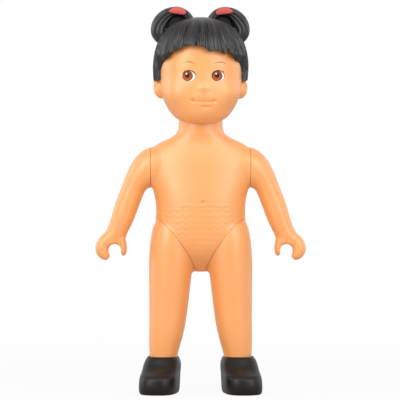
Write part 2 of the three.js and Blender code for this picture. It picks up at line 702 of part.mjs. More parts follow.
// The skull with its ears, grown by a gap where another piece goes round it
function skull(grow) {
  return skullSkin(grow).add(ear(1, grow)).add(ear(-1, grow));
}

function head() {
  const nose = ball(
    new THREE.Vector3(0, -FACE_FRONT, cheekRise),
    NOSE_WIDTH,
    2 * NOSE_OUT,
    NOSE_HEIGHT,
  );
  const hollow = loft(grown(headRows(0), -WALL), TRUNK_SIDES)
    .intersect(above(JOINT_GAP + WALL))
    .intersect(below(crownRise - WALL));
  const socketMiddle = new THREE.Vector3(0, 0, JOINT_GAP - NECK_DIAMETER / 2);
  const socketWide = NECK_DIAMETER + 2 * JOINT_GAP;
  const shell = skull(0)
    .add(nose)
    .subtract(hollow)
    .subtract(bar(socketMiddle, UP, socketWide, NECK_DIAMETER, TRUNK_SIDES))
    .subtract(axleRoom(new THREE.Vector3(), UP));
  const group = new THREE.Group();
  group.add(named("head_front", geometryOf(frontHalf(shell, HEAD_SEAM_BACK)), skin));
  group.add(named("head_back", geometryOf(backHalf(shell, HEAD_SEAM_BACK)), skin));
  group.add(...hair());
  group.add(axle("neck_axle", UP));
  group.position.z = crotchLevel + neckTopRise;
  group.rotation.z = HEAD_TURN * DEGREE;
  return group;
}

// The opening that the hair leaves for the face, cut from the front round the tips of the fringe
function faceOpening() {
  const half = FACE_OPENING / 2;
  const spring = FRINGE_RISE - FRINGE_ARCH - CHIN_DROP;
  const outline = new THREE.Shape();
  outline.moveTo(-half, -FRINGE_RISE);
  outline.lineTo(half, -FRINGE_RISE);
  for (let i = 0; i <= 2 * FRINGE_TIPS; i++) {
    const angle = (Math.PI * i) / (2 * FRINGE_TIPS);
    const drop = i % 2 ? TIP_DROP : 0;
    outline.lineTo(half * Math.cos(angle), spring + FRINGE_ARCH * Math.sin(angle) - drop);
  }
  const geometry = new THREE.ExtrudeGeometry(outline, {
    depth: FACE_FRONT + 2 * HAIR_THICK,
    bevelEnabled: false,
  });
  return solid(geometry.rotateX(Math.PI / 2));
}

// A stretch of the left hair loop's strand between two angles round the loop
function strand(from, to, steps, grow) {
  const sections = [];
  for (let i = 0; i <= steps; i++) {
    const angle = THREE.MathUtils.lerp(from, to, i / steps) * DEGREE;
    const outwards = new THREE.Vector3(Math.cos(angle), 0, Math.sin(angle));
    const centre = bunCentre.clone().addScaledVector(outwards, BUN_RADIUS);
    const across = outwards.multiplyScalar(BUN_STRAND / 2 + grow);
    const deep = new THREE.Vector3(0, -(BUN_DEPTH / 2 + grow), 0);
    sections.push(section(centre, across, deep, TRUNK_SQUARE));
  }
  return loft(sections, BUN_SIDES);
}

// The cap of hair, two loops of hair on it, and the tie let into each loop
function hair() {
  const sideEnd = new THREE.Vector3(0, -EAR_DEPTH, sideburnRise);
  const napeEnd = new THREE.Vector3(0, HEAD_BACK, NAPE_RISE - CHIN_DROP);
  const along = napeEnd.sub(sideEnd).normalize();
  const hairline = new THREE.Vector3(0, -along.z, along.y);
  const cap = capSkin(0)
    .subtract(skull(FIT))
    .subtract(faceOpening())
    .intersect(halfSpace(sideEnd, hairline));
  const onCap = capSkin(FIT);
  const webMiddle = bunCentre.clone().addScaledVector(BACK, BUN_WEB);
  const web = (gap) => bar(webMiddle, BACK, 2 * BUN_RADIUS, BUN_WEB + 2 * gap);
  const halfTie = TIE_LENGTH / BUN_RADIUS / DEGREE / 2;
  const around = (half, steps, grow) => strand(TIE_ANGLE - half, TIE_ANGLE + half, steps, grow);
  const core = (gap) => around(2 * halfTie, 2 * TIE_STEPS, -TIE_THICK - gap);
  const groove = around(halfTie + FIT / BUN_RADIUS / DEGREE, TIE_STEPS, FIT).subtract(core(FIT));
  const loop = strand(BUN_START, BUN_END, BUN_STEPS, 0)
    .add(web(0))
    .subtract(groove)
    .subtract(onCap);
  const tie = around(halfTie, TIE_STEPS, 0)
    .subtract(core(0))
    .subtract(web(FIT))
    .subtract(onCap);
  const pieces = [named("hair_cap", geometryOf(cap), hairFinish)];
  const both = (name, geometry, finish) => {
    pieces.push(named(`${name}_left`, geometry, finish));
    pieces.push(named(`${name}_right`, mirrored(geometry), finish));
  };
  both("hair_loop", geometryOf(loop), hairFinish);
  both("hair_tie", geometryOf(tie), tieFinish);
  return pieces;
}

// Both limbs of a pair, from the left one's geometry, hung on their joints
function pair(geometries, finishes, centre, axleName, axis) {
  return ["left", "right"].map((side) => {
    const isLeft = side === "left";
    const group = new THREE.Group();
    for (const [name, geometry] of Object.entries(geometries)) {
      const [limb, half] = name.split("_");
      const fullName = half ? `${limb}_${side}_${half}` : `${limb}_${side}`;
      const placed = isLeft ? geometry : mirrored(geometry);
      group.add(named(fullName, placed, finishes[name] ?? skin));
    }
    group.add(axle(`${axleName}_${side}`, isLeft ? axis : otherSide(axis)));
    group.position.copy(isLeft ? centre : otherSide(centre));
    group.position.z += crotchLevel;
    return group;
  });
}

const doll = new THREE.Group();
doll.add(trunk());
doll.add(head());
doll.add(...pair(leftArm(), {}, shoulderCentre, "shoulder_axle", LEFT));
const footwear = { shoe: shoeFinish, sole: soleFinish };
doll.add(...pair(leftLeg(), footwear, hipCentre, "hip_axle", hipAxle));

// The middle of the doll's outline goes over the origin
const outline = new THREE.Box3().setFromObject(doll, true);
const middle = outline.getCenter(new THREE.Vector3());
doll.position.set(-middle.x, -middle.y, -outline.min.z);

export default doll;
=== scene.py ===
"""Looks of a jointed plastic play doll, modelled over its CAD frame."""

import json
import math
from collections import namedtuple

import bpy
import numpy as np
from bpy.props import FloatProperty, FloatVectorProperty, IntProperty, PointerProperty
from mathutils import Matrix, Vector

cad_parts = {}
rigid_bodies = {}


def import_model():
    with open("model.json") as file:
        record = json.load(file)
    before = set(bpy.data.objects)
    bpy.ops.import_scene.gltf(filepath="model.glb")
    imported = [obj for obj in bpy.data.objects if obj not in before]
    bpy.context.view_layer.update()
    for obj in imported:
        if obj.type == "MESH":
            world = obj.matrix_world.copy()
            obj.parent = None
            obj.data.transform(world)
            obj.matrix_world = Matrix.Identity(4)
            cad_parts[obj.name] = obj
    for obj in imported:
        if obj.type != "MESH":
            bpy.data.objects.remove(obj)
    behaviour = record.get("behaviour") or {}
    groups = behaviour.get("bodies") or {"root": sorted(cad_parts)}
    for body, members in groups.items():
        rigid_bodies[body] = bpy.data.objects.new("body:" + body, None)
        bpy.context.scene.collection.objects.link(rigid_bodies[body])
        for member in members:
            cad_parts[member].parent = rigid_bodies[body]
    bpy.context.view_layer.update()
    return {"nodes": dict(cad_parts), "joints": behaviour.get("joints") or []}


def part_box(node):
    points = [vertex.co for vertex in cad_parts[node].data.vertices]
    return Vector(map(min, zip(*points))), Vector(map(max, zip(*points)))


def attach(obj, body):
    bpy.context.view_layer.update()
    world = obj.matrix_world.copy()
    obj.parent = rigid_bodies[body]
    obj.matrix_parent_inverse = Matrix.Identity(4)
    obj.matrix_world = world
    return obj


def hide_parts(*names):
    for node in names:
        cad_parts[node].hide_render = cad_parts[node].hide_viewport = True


bl_info = {
    "name": "Jointed play doll",
    "version": (1, 0, 0),
    "blender": (4, 5, 0),
    "location": "View3D > Sidebar > Doll",
    "description": "Models a jointed plastic play doll over its CAD frame",
    "category": "Object",
}

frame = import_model()

MM = 0.001
# Sides of the doll along X, and the turn that brings an upright axis to front and back
SIDES = {"left": 1, "right": -1}
UPENDED = (math.pi / 2, 0, 0)
JOINTS = {joint["name"]: joint for joint in frame["joints"]}
NECK = Vector(JOINTS["neck_turn"]["pos_m"])
SHOULDER = Vector(JOINTS["shoulder_left_swing"]["pos_m"])
HIP = Vector(JOINTS["hip_left_swing"]["pos_m"])
HIP_OUT = -Vector(JOINTS["hip_left_swing"]["axis"])
MIDDLE = NECK.y
PARTING = (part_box("torso_front")[1].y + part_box("torso_back")[0].y) / 2

# The tables are in millimetres and degrees

# A ring of a tube: its middle, half its width and depth, and its turn about Y
Ring = namedtuple("Ring", "x y z width depth turn")

# Rows of the trunk: height above the floor, half width, reach to the front and reach to the back
TRUNK_ROWS = (
    (51.7, 3.0, 0.8, 2.6),
    (52.3, 6.5, 2.0, 5.0),
    (54.2, 11.5, 4.2, 9.0),
    (57.0, 16.0, 7.6, 11.6),
    (61.0, 19.0, 10.8, 13.4),
    (66.0, 20.2, 12.5, 14.2),
    (73.0, 19.3, 13.2, 13.0),
    (79.0, 18.9, 13.5, 11.7),
    (84.0, 19.5, 13.3, 11.1),
    (88.0, 20.8, 12.8, 11.0),
    (92.5, 22.3, 12.0, 11.0),
    (97.0, 23.2, 11.4, 10.9),
    (101.5, 22.8, 10.4, 10.4),
    (104.6, 21.0, 9.3, 9.6),
    (106.7, 18.2, 8.6, 9.1),
    (108.4, 14.2, 8.6, 9.0),
    (109.9, 11.2, 9.0, 9.3),
    (111.8, 9.7, 9.2, 9.4),
    (114.5, 9.35, 9.35, 9.4),
    (121.0, 9.35, 9.35, 9.4),
)

# The waistband's height, the width of a stitch of the knit below it, the reach of the belly to the front,
# and its dimples: across, height, reach and depth
WAISTBAND = 80.0
KNIT = 3.4
BELLY_FRONT = 13.3
NAVEL = (
    (1.0, 81.3, 1.1, 1.0),
    (-0.3, 79.0, 0.9, 0.35),
)

# Rows of an arm: out from the middle, height, half width, half depth and lean of the row's axis
ARM_ROWS = (
    (14.0, 97.0, 7.6, 7.4, 0),
    (18.0, 96.8, 8.5, 8.3, 0),
    (21.4, 96.6, 8.75, 8.5, 4),
    (25.0, 94.8, 7.7, 7.9, 18),
    (27.5, 90.9, 5.75, 6.7, 41),
    (29.4, 85.7, 5.0, 5.9, 60),
    (31.3, 81.1, 5.05, 5.5, 70),
    (33.2, 75.2, 4.9, 5.0, 75),
    (34.7, 71.0, 4.5, 4.3, 82),
    (36.6, 67.6, 4.9, 3.8, 90),
    (38.0, 65.7, 5.9, 3.6, 92),
    (38.2, 63.5, 5.0, 3.3, 92),
)
FINGER_ROWS = (
    (37.6, 66.2, 2.9, 3.0, 20),
    (40.3, 65.2, 3.4, 3.5, 35),
    (42.0, 63.0, 3.3, 3.6, 75),
    (42.1, 60.6, 3.1, 3.5, 95),
    (41.4, 59.1, 2.7, 3.3, 112),
    (40.5, 58.0, 2.0, 2.9, 128),
    (39.5, 57.4, 1.2, 2.3, 140),
)
THUMB_ROWS = (
    (34.6, 66.6, 2.1, 2.8, 100),
    (33.9, 64.4, 2.2, 3.0, 100),
    (33.5, 62.4, 2.0, 2.9, 95),
    (33.1, 60.6, 1.6, 2.6, 90),
    (32.95, 59.2, 1.1, 2.0, 90),
    (33.1, 58.5, 0.5, 1.2, 90),
)
# Middle of a hand's bore: out from the middle and height
GRIP = (36.7, 60.7)

# Rows of a leg: height, out from the middle, half width and half depth
LEG_ROWS = (
    (77.0, 11.5, 4.5, 6.0),
    (74.0, 12.0, 7.0, 8.6),
    (70.5, 12.1, 8.5, 10.4),
    (66.0, 12.1, 9.35, 11.3),
    (60.0, 12.4, 9.6, 11.2),
    (54.0, 12.8, 9.35, 10.6),
    (48.0, 13.1, 8.95, 10.1),
    (42.0, 13.4, 8.6, 9.5),
    (36.0, 13.75, 8.25, 8.8),
    (30.0, 14.15, 7.8, 8.4),
    (25.0, 14.7, 7.35, 7.9),
    (20.0, 15.4, 6.65, 7.1),
    (16.2, 15.9, 5.95, 6.35),
    (12.5, 16.0, 5.85, 6.25),
    (9.0, 16.0, 5.8, 6.2),
)

# Rows of the head: height, half width, reach to the front and reach to the back
HEAD_ROWS = (
    (114.7, 2.5, 12.2, -6.0),
    (115.2, 6.0, 13.6, 0.0),
    (116.6, 9.8, 15.2, 6.0),
    (118.4, 11.9, 16.4, 10.4),
    (120.6, 13.5, 17.4, 12.9),
    (123.2, 15.0, 18.1, 14.8),
    (126.4, 16.3, 18.5, 16.2),
    (130.0, 17.0, 18.5, 17.2),
    (134.0, 17.4, 18.2, 17.8),
    (138.5, 17.5, 18.1, 18.0),
    (143.0, 17.1, 17.9, 17.8),
    (147.5, 15.9, 17.0, 16.7),
    (151.5, 13.4, 14.9, 14.5),
    (154.6, 10.0, 11.6, 11.2),
    (156.6, 6.2, 7.4, 7.2),
    (157.4, 2.5, 3.0, 3.0),
)

# How square the head is from above, where 2 is an ellipse
FACE_SQUARE = 2.35

# Rows of the hair's outside: height, half width, reach to the front and reach to the back
HAIR_ROWS = (
    (160.6, 1.2, 1.6, 1.6),
    (160.4, 4.2, 5.0, 4.8),
    (159.4, 8.2, 9.4, 9.0),
    (157.4, 12.6, 13.4, 13.2),
    (154.5, 15.8, 16.6, 16.4),
    (151.0, 18.0, 19.0, 18.7),
    (147.5, 19.4, 20.4, 20.2),
    (144.0, 20.1, 21.0, 20.8),
    (140.5, 20.5, 21.2, 21.1),
    (137.0, 20.4, 21.1, 21.1),
    (133.5, 20.1, 21.0, 21.1),
    (130.0, 19.9, 21.0, 21.0),
    (126.5, 19.6, 20.8, 20.8),
    (123.4, 19.0, 20.2, 20.0),
    (121.0, 18.0, 19.0, 18.6),
)

# Height above which the crown is smooth
SMOOTH_CROWN = 160.0
# Ends of the hair: beside the face, behind the ear, and at the nape
SIDEBURN_END = 133.6
EAR_BACK = 3.4
EAR_BACK_END = 130.6
NAPE_END = (0, 17.1, 123.9)

# Where the hair hugs the temples: in front of this and below this height, and how far it draws in
TEMPLE_FRONT = -4.0
TEMPLE_TOP = 143.5
TEMPLE_DRAW = 6.5

# Rows of a shoe from the sole recess up and down into the collar: height, half width, toe and heel reach
SHOE_ROWS = (
    (1.9, 6.2, 15.0, 6.7),
    (0.2, 6.3, 15.1, 6.8),
    (0.0, 6.6, 15.5, 7.1),
    (0.05, 7.3, 16.6, 8.1),
    (0.7, 7.8, 17.4, 8.7),
    (2.4, 8.0, 17.9, 9.0),
    (4.6, 8.0, 17.9, 9.1),
    (6.4, 8.0, 17.6, 9.1),
    (7.6, 7.95, 16.8, 9.1),
    (8.4, 7.9, 15.6, 9.0),
    (9.0, 7.85, 14.3, 9.0),
    (9.9, 7.85, 12.9, 9.0),
    (11.2, 7.8, 11.4, 8.9),
    (12.7, 7.65, 9.8, 8.7),
    (14.2, 7.2, 8.4, 8.3),
    (15.2, 6.6, 7.4, 7.5),
    (15.6, 6.3, 6.8, 7.0),
    (15.5, 6.15, 6.6, 6.8),
    (14.0, 6.05, 6.5, 6.7),
    (8.6, 6.0, 6.4, 6.6),
)
# Middle of a shoe out from the ankle, at the sole and at the collar
SHOE_OUT = (0.75, 0.1)

# Opening of the hair with the lower edge of the fringe, seen from the front: across and height
HAIRLINE = (
    (-17.0, 110.0), (-17.0, 137.6), (-16.6, 140.2), (-15.4, 141.6), (-14.6, 142.4), (-13.6, 142.6),
    (-13.2, 144.2), (-11.4, 144.9), (-10.9, 145.4), (-9.6, 145.1), (-8.9, 146.2), (-7.4, 146.4),
    (-6.2, 147.6), (-4.3, 147.7), (-3.6, 147.0), (-2.4, 147.0), (-1.6, 147.4), (-0.3, 146.9),
    (0.8, 147.3), (1.7, 146.2), (3.3, 144.8), (5.0, 144.8), (5.7, 145.6), (7.2, 145.4),
    (8.7, 144.4), (10.5, 143.7), (11.3, 145.9), (11.9, 146.3), (12.4, 144.4), (13.7, 142.8),
    (15.2, 141.5), (16.5, 140.4), (17.1, 138.2), (17.2, 110.0),
)

# Rows of a sole plate: height, half width, toe and heel reach
SOLE_ROWS = (
    (1.7, 5.6, 14.2, 5.9),
    (1.6, 6.0, 14.7, 6.4),
    (0.4, 6.1, 14.8, 6.5),
    (0.05, 6.0, 14.7, 6.4),
    (0.0, 5.6, 14.2, 5.9),
)

# Soft forms of the face: across, height, half width, half height and how far each stands out
FACE_FORMS = (
    (1.4, 129.5, 4.8, 4.4, 0.65),
    (1.4, 129.0, 2.8, 2.4, 0.35),
    (1.2, 133.6, 3.4, 6.0, 0.2),
    (1.2, 125.9, 6.0, 2.8, 0.5),
    (1.5, 122.6, 4.8, 2.0, 0.35),
    (1.6, 118.6, 7.4, 5.0, 0.7),
    (-12.2, 127.0, 9.0, 9.0, 1.2),
    (14.0, 126.8, 9.0, 9.0, 1.2),
    (-5.3, 134.6, 5.8, 4.6, -0.25),
    (7.2, 134.6, 5.8, 4.6, -0.25),
    (-3.4, 124.1, 1.8, 1.5, -0.65),
    (5.9, 124.0, 1.7, 1.4, -0.55),
)

# Lines pressed into the face: path across and up, half width and depth
FACE_LINES = (
    (((-3.2, 124.0), (-1.6, 123.8), (1.0, 123.6), (3.4, 123.6), (5.6, 123.9)), 0.65, 0.38),
    (((0.8, 121.6), (2.2, 121.4), (3.8, 121.5)), 1.1, 0.35),
)

# Half widths of an eye's lash lines, the long one first
LASH_WIDTHS = (0.16, 0.09)
# Printed eyes, across and up: middle of the iris, the white's shift and half sizes, lashes and brow
EYES = {
    "right": {
        "iris": (-5.45, 134.55),
        "white": (0.65, 2.65, 2.15),
        "lashes": (
            ((-7.5, 135.5), (-6.8, 136.3), (-5.5, 136.8), (-4.1, 136.6), (-2.8, 135.8), (-1.8, 134.4)),
            ((-6.6, 136.4), (-7.1, 136.9)),
        ),
        "brow": ((-6.9, 140.2), (-5.7, 140.5), (-4.5, 140.4), (-3.2, 140.0), (-2.1, 139.3)),
    },
    "left": {
        "iris": (7.0, 134.6),
        "white": (0.4, 2.6, 2.2),
        "lashes": (
            ((5.1, 135.5), (5.8, 136.4), (7.1, 136.85), (8.5, 136.6), (9.5, 135.9), (10.2, 134.5)),
            ((9.3, 136.2), (9.8, 136.8)),
        ),
        "brow": ((5.5, 139.5), (6.8, 140.1), (8.2, 140.35), (9.6, 140.2), (10.9, 139.7)),
    },
}

# Where flat prints and ties start, in front of the doll
PRINT_START = -30.0

# A looped bun: middle across and up, its distance behind the neck, its outer radius and half its depth
BUN_MIDDLE = (10.9, 154.7)
BUN_BACK = 2.0
BUN_RADIUS = 10.4
BUN_DEPTH = 4.3
# Half widths of the loop's strand, from low on its outside up and over to the cap, and the turns it spans
LOOP_WIDTHS = (2.9, 3.4, 3.8, 3.8, 3.5, 2.7, 1.85, 1.7, 1.9, 2.0, 2.0)
LOOP_TURNS = (-80, 200)
# Half widths of a tie along the loop, from its pointed outer end, the turns it spans and how far in from
# the loop's outside its middle runs
TIE_WIDTHS = (0.05, 0.6, 1.05, 1.35, 1.45, 1.45, 1.35, 1.1, 0.5)
TIE_TURNS = (70, 120)
TIE_INSET = 1.75
# Outer radius of the loop where it tucks in to the cap: turn round the bun and radius
LOOP_TUCK = ((-80, 7.0), (-34, 8.7), (-12, 10.0), (10, BUN_RADIUS), (115, BUN_RADIUS), (150, 9.5))
# How square the loop's section is
LOOP_SQUARE = 3.2


def mm(*values):
    """Millimetres as a place in metres"""
    return Vector(value * MM for value in values)


def beside(side, out, back, up):
    """A place from millimetres out to a side, back from the neck's middle and up"""
    return mm(side * out, MIDDLE / MM + back, up)


def mirrored(place, side):
    """A place or direction on the doll's left, brought to a side"""
    return place * Vector((side, 1, 1))


def object_mode():
    if bpy.context.object and bpy.context.object.mode != "OBJECT":
        bpy.ops.object.mode_set(mode="OBJECT")


def edit_all(action="SELECT"):
    """Enters edit mode and selects or deselects the whole mesh"""
    bpy.ops.object.mode_set(mode="EDIT")
    bpy.ops.mesh.select_all(action=action)


def face_outward():
    """Turns the faces of the edited mesh outwards and leaves edit mode"""
    bpy.ops.mesh.select_all(action="SELECT")
    bpy.ops.mesh.normals_make_consistent()
    object_mode()


def only(*pieces):
    """Selects these pieces alone, the first of them active"""
    object_mode()
    bpy.ops.object.select_all(action="DESELECT")
    for piece in pieces:
        piece.select_set(True)
    bpy.context.view_layer.objects.active = pieces[0]


def start(name, add, **settings):
    """Adds a primitive, alone in the selection, with its place in its mesh"""
    object_mode()
    add(**settings)
    piece = bpy.context.object
    piece.name = name
    bpy.ops.object.transform_apply()
    return piece


def box(name, middle, size, turn=(0, 0, 0)):
    return start(name, bpy.ops.mesh.primitive_cube_add, size=1, location=middle, rotation=turn, scale=size)


def cylinder(name, middle, radius, depth, sides, turn=UPENDED):
    """A cylinder that runs from front to back unless it is turned otherwise"""
    add = bpy.ops.mesh.primitive_cylinder_add
    return start(name, add, vertices=sides, radius=radius, depth=depth, location=middle, rotation=turn)


def copy_of(piece, name):
    only(piece)
    bpy.ops.object.duplicate()
    twin = bpy.context.object
    twin.name = name
    return twin


def joined(name, *pieces):
    only(*pieces)
    bpy.ops.object.join()
    pieces[0].name = name
    return pieces[0]


def finish_with(piece, kind, **settings):
    """Adds a modifier with these settings and applies it"""
    only(piece)
    bpy.ops.object.modifier_add(type=kind)
    modifier = piece.modifiers[-1]
    for setting, value in settings.items():
        setattr(modifier, setting, value)
    bpy.ops.object.modifier_apply(modifier=modifier.name)
    return piece


def one_skin(piece, voxel, passes):
    """Overlapping closed forms as one skin of small even faces, softened where they meet"""
    finish_with(piece, "REMESH", mode="VOXEL", voxel_size=voxel)
    return finish_with(piece, "SMOOTH", iterations=passes)


def carve(piece, cutter):
    """Takes the cutter out of the piece and removes the cutter"""
    finish_with(piece, "BOOLEAN", object=cutter, operation="DIFFERENCE", solver="MANIFOLD")
    bpy.data.objects.remove(cutter)


def cut(piece, point, normal):
    """Cuts off what lies in front of a plane and closes the cut"""
    size = 0.5
    turn = normal.to_track_quat("Z", "Y").to_euler()
    carve(piece, box("slab", point + normal * size / 2, (size, size, size), turn))


def fit_ring(last, ring):
    """Brings the selected ring from the size and turn of the last one to its own"""
    middle = mm(ring.x, ring.y, ring.z)
    scale = (ring.width / last.width, ring.depth / last.depth, 1)
    bpy.ops.transform.rotate(value=math.radians(last.turn), orient_axis="Y", center_override=middle)
    bpy.ops.transform.resize(value=scale, center_override=middle)
    bpy.ops.transform.rotate(value=-math.radians(ring.turn), orient_axis="Y", center_override=middle)


def tube(name, rings, sides=16, square=2.0):
    """A tube extruded ring by ring from a circle or a squarer oval, subdivided and closed at both ends"""
    first = rings[0]
    middle = mm(first.x, first.y, first.z)
    # Subdividing draws a ring in by this share, so the first one starts wider
    draw_in = (2 + math.cos(math.tau / sides)) / 3
    radius = MM / draw_in
    piece = start(name, bpy.ops.mesh.primitive_circle_add, vertices=sides, radius=radius, location=middle)
    reach = places(piece) - np.array(middle)
    share = np.abs(reach) / np.linalg.norm(reach, axis=1)[:, None]
    put(piece, np.array(middle) + reach * np.sum(share**square, axis=1)[:, None] ** (-1 / square))
    edit_all()
    fit_ring(first._replace(width=1, depth=1, turn=0), first)
    for last, ring in zip(rings, rings[1:]):
        step = mm(ring.x - last.x, ring.y - last.y, ring.z - last.z)
        bpy.ops.mesh.extrude_edges_move(TRANSFORM_OT_translate={"value": step})
        fit_ring(last, ring)
    finish_with(piece, "SUBSURF", levels=2)
    edit_all()
    bpy.ops.mesh.fill_holes(sides=0)
    face_outward()
    return piece


def upright(rows, x=0.0):
    """Level rings from rows of height, half width, front reach and back reach"""
    rings = []
    for z, width, front, back in rows:
        rings.append(Ring(x, MIDDLE / MM + (back - front) / 2, z, width, (back + front) / 2, 0))
    return rings


def leaning(rows):
    """Rings of the left arm from rows whose axis leans down from +X"""
    return [Ring(x, MIDDLE / MM, z, width, depth, 90 + lean) for x, z, width, depth, lean in rows]


def places(piece):
    """The piece's vertices as rows of an array"""
    points = np.empty(len(piece.data.vertices) * 3)
    piece.data.vertices.foreach_get("co", points)
    return points.reshape(-1, 3)


def put(piece, points):
    piece.data.vertices.foreach_set("co", points.ravel())
    piece.data.update()
    return piece


def bell(distance):
    """A smooth hump that is 1 at no distance and 0 from a distance of 1 on"""
    return np.clip(1 - distance**2, 0, 1) ** 3


def ramp(distance, width, lag=0.0):
    """Rises from 0 to 1 over a width, which starts a share of that width late"""
    return np.clip(distance / width - lag, 0, 1)


def push(piece, middle, reach, move):
    """Moves the skin round a place, most in the middle and not at all beyond its reach"""
    points = places(piece)
    weight = bell(np.linalg.norm((points - middle) / reach, axis=1))
    return put(piece, points + weight[:, None] * np.array(move))


def score(piece, path, width, depth):
    """Presses a line into the front of a piece, along a path of places across and up"""
    points = places(piece)
    flat = points[:, (0, 2)] / MM
    nearest = np.full(len(points), np.inf)
    for a, b in zip(path, path[1:]):
        along = np.subtract(b, a)
        share = np.clip((flat - a) @ along / (along @ along), 0, 1)
        nearest = np.minimum(nearest, np.linalg.norm(flat - a - share[:, None] * along, axis=1))
    front = points[:, 1] < MIDDLE - 4 * MM
    points[:, 1] += bell(nearest / width) * front * depth * MM
    put(piece, points)


def soften_seam(piece, point, normal, where, width=0.9 * MM, depth=0.1 * MM):
    """Rounds the skin in towards a joint plane, so that the joint shows as a fine line"""
    points = places(piece)
    normals = np.empty(points.size)
    piece.data.vertex_normals.foreach_get("vector", normals)
    away = np.abs((points - np.array(point)) @ np.array(normal)) / width
    weight = bell(away) * where(*points.T)
    put(piece, points - depth * weight[:, None] * normals.reshape(-1, 3))


def keep_linked(piece, test):
    """Keeps only the loose parts of a piece that have a vertex whose x, y and z pass the test"""
    only(piece)
    wanted = test(*places(piece).T)
    edit_all("DESELECT")
    object_mode()
    piece.data.vertices.foreach_set("select", wanted)
    bpy.ops.object.mode_set(mode="EDIT")
    bpy.ops.mesh.select_linked()
    bpy.ops.mesh.select_all(action="INVERT")
    bpy.ops.mesh.delete(type="VERT")
    object_mode()


def turned(piece, angle, centre=NECK):
    """Turns a piece about an upright axis, in its mesh"""
    only(piece)
    edit_all()
    bpy.ops.transform.rotate(value=-angle, orient_axis="Z", center_override=centre)
    object_mode()
    return piece


def dress(piece, material, body, slot, *nodes):
    """Gives a finished piece its smooth shading, material and body, and hides the nodes it stands for; the
    slot is not used
    """
    only(piece)
    bpy.ops.object.shade_smooth_by_angle(angle=math.radians(40))
    piece.data.materials.clear()
    piece.data.materials.append(material)
    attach(piece, body)
    if nodes:
        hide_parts(*nodes)


def halves(piece, body, material, gap, seam=PARTING, turn=0.0):
    """Splits a body's moulding into its front and back half at a seam, which may be turned about Z"""
    point = Vector((0, seam, 0))
    normal = Matrix.Rotation(turn, 3, "Z") @ Vector((0, 1, 0))
    back = copy_of(piece, body + "_back")
    cut(piece, point - normal * gap / 2, normal)
    cut(back, point + normal * gap / 2, -normal)
    piece.name = body + "_front.skin"
    back.name = body + "_back.skin"
    dress(piece, material, body, "skin", body + "_front")
    dress(back, material, body, "skin", body + "_back")


def feed(tree, socket, value):
    """Links a socket to an output, or sets it to a value"""
    if isinstance(value, bpy.types.NodeSocket):
        tree.links.new(value, socket)
    else:
        socket.default_value = value


def fill(tree, made, **inputs):
    """Feeds a node's inputs by name"""
    for label, value in inputs.items():
        feed(tree, made.inputs[label.replace("_", " ")], value)


def node(tree, kind, settings=None, **inputs):
    """Adds a shader node, sets it up and feeds its inputs"""
    made = tree.nodes.new("ShaderNode" + kind)
    for setting, value in (settings or {}).items():
        setattr(made, setting, value)
    fill(tree, made, **inputs)
    return made


def maths(tree, operation, *values):
    """A Math node's result"""
    made = node(tree, "Math", {"operation": operation})
    for socket, value in zip(made.inputs, values):
        feed(tree, socket, value)
    return made.outputs[0]


def blend_colours(tree, share, first, second):
    """A mix of two colours by a share"""
    made = node(tree, "Mix", {"data_type": "RGBA"})
    for label, value in (("Factor_Float", share), ("A_Color", first), ("B_Color", second)):
        feed(tree, next(socket for socket in made.inputs if socket.identifier == label), value)
    return next(socket for socket in made.outputs if socket.identifier == "Result_Color")


def moulded_group():
    """Moulded plastic: slow drift of the colour, fine grain and faint rubbed streaks"""
    tree = bpy.data.node_groups.new("Moulded plastic", "ShaderNodeTree")
    sockets = (
        ("INPUT", "Color", "Colour", "Deep colour"),
        ("INPUT", "Float", "Drift", "Roughness"),
        ("OUTPUT", "Color", "Colour"),
        ("OUTPUT", "Float", "Roughness", "Height"),
    )
    for way, kind, *labels in sockets:
        for label in labels:
            tree.interface.new_socket(label, in_out=way, socket_type="NodeSocket" + kind)
    given = tree.nodes.new("NodeGroupInput").outputs
    place = node(tree, "TexCoord").outputs["Object"]
    slow = node(tree, "TexNoise", Vector=place, Scale=55.0, Detail=3.0).outputs["Fac"]
    fine = node(tree, "TexNoise", Vector=place, Scale=2200.0).outputs["Fac"]
    stretch = node(tree, "Mapping", Vector=place, Scale=(1.0, 1.0, 6.0), Rotation=(0.5, 0.3, 0.8))
    rubs = node(tree, "TexNoise", Vector=stretch.outputs[0], Scale=420.0, Detail=4.0).outputs["Fac"]
    share = maths(tree, "MULTIPLY", slow, given["Drift"])
    colour = blend_colours(tree, share, given["Colour"], given["Deep colour"])
    spread = 0.16
    shine = maths(tree, "MULTIPLY_ADD", rubs, spread, -spread / 2)
    rough = maths(tree, "ADD", given["Roughness"], shine)
    fill(tree, tree.nodes.new("NodeGroupOutput"), Colour=colour, Roughness=rough, Height=fine)
    return tree


def plastic(name, colour, deep, roughness=0.4, drift=0.5, grain=0.04, gloss=0.5, coat=0.0, glow=0.0):
    """A moulded plastic finish from the shared group"""
    material = bpy.data.materials.new(name)
    material.use_nodes = True
    tree = material.node_tree
    shared = {"node_tree": bpy.data.node_groups.get("Moulded plastic") or moulded_group()}
    finish = {"Colour": colour, "Deep_colour": deep, "Drift": drift, "Roughness": roughness}
    moulded = node(tree, "Group", shared, **finish).outputs
    bump = node(tree, "Bump", Strength=grain, Distance=0.0002, Height=moulded["Height"])
    shader = tree.nodes["Principled BSDF"]
    fill(tree, shader, Base_Color=moulded["Colour"], Roughness=moulded["Roughness"])
    fill(tree, shader, Specular_IOR_Level=gloss, Normal=bump.outputs["Normal"])
    fill(tree, shader, Coat_Weight=coat, Coat_Roughness=0.41, Coat_IOR=1.75)
    fill(tree, shader, Subsurface_Weight=glow, Subsurface_Radius=(1.0, 0.45, 0.2), Subsurface_Scale=0.002)
    return material


def darker(colour, share):
    """A colour with this share of its light"""
    return [channel * share for channel in colour[:3]] + [1]


def length(**settings):
    """A length that a user may change"""
    return FloatProperty(unit="LENGTH", precision=5, **settings)


def tint(**settings):
    """A colour that a user may change"""
    return FloatVectorProperty(size=4, min=0, max=1, subtype="COLOR", **settings)


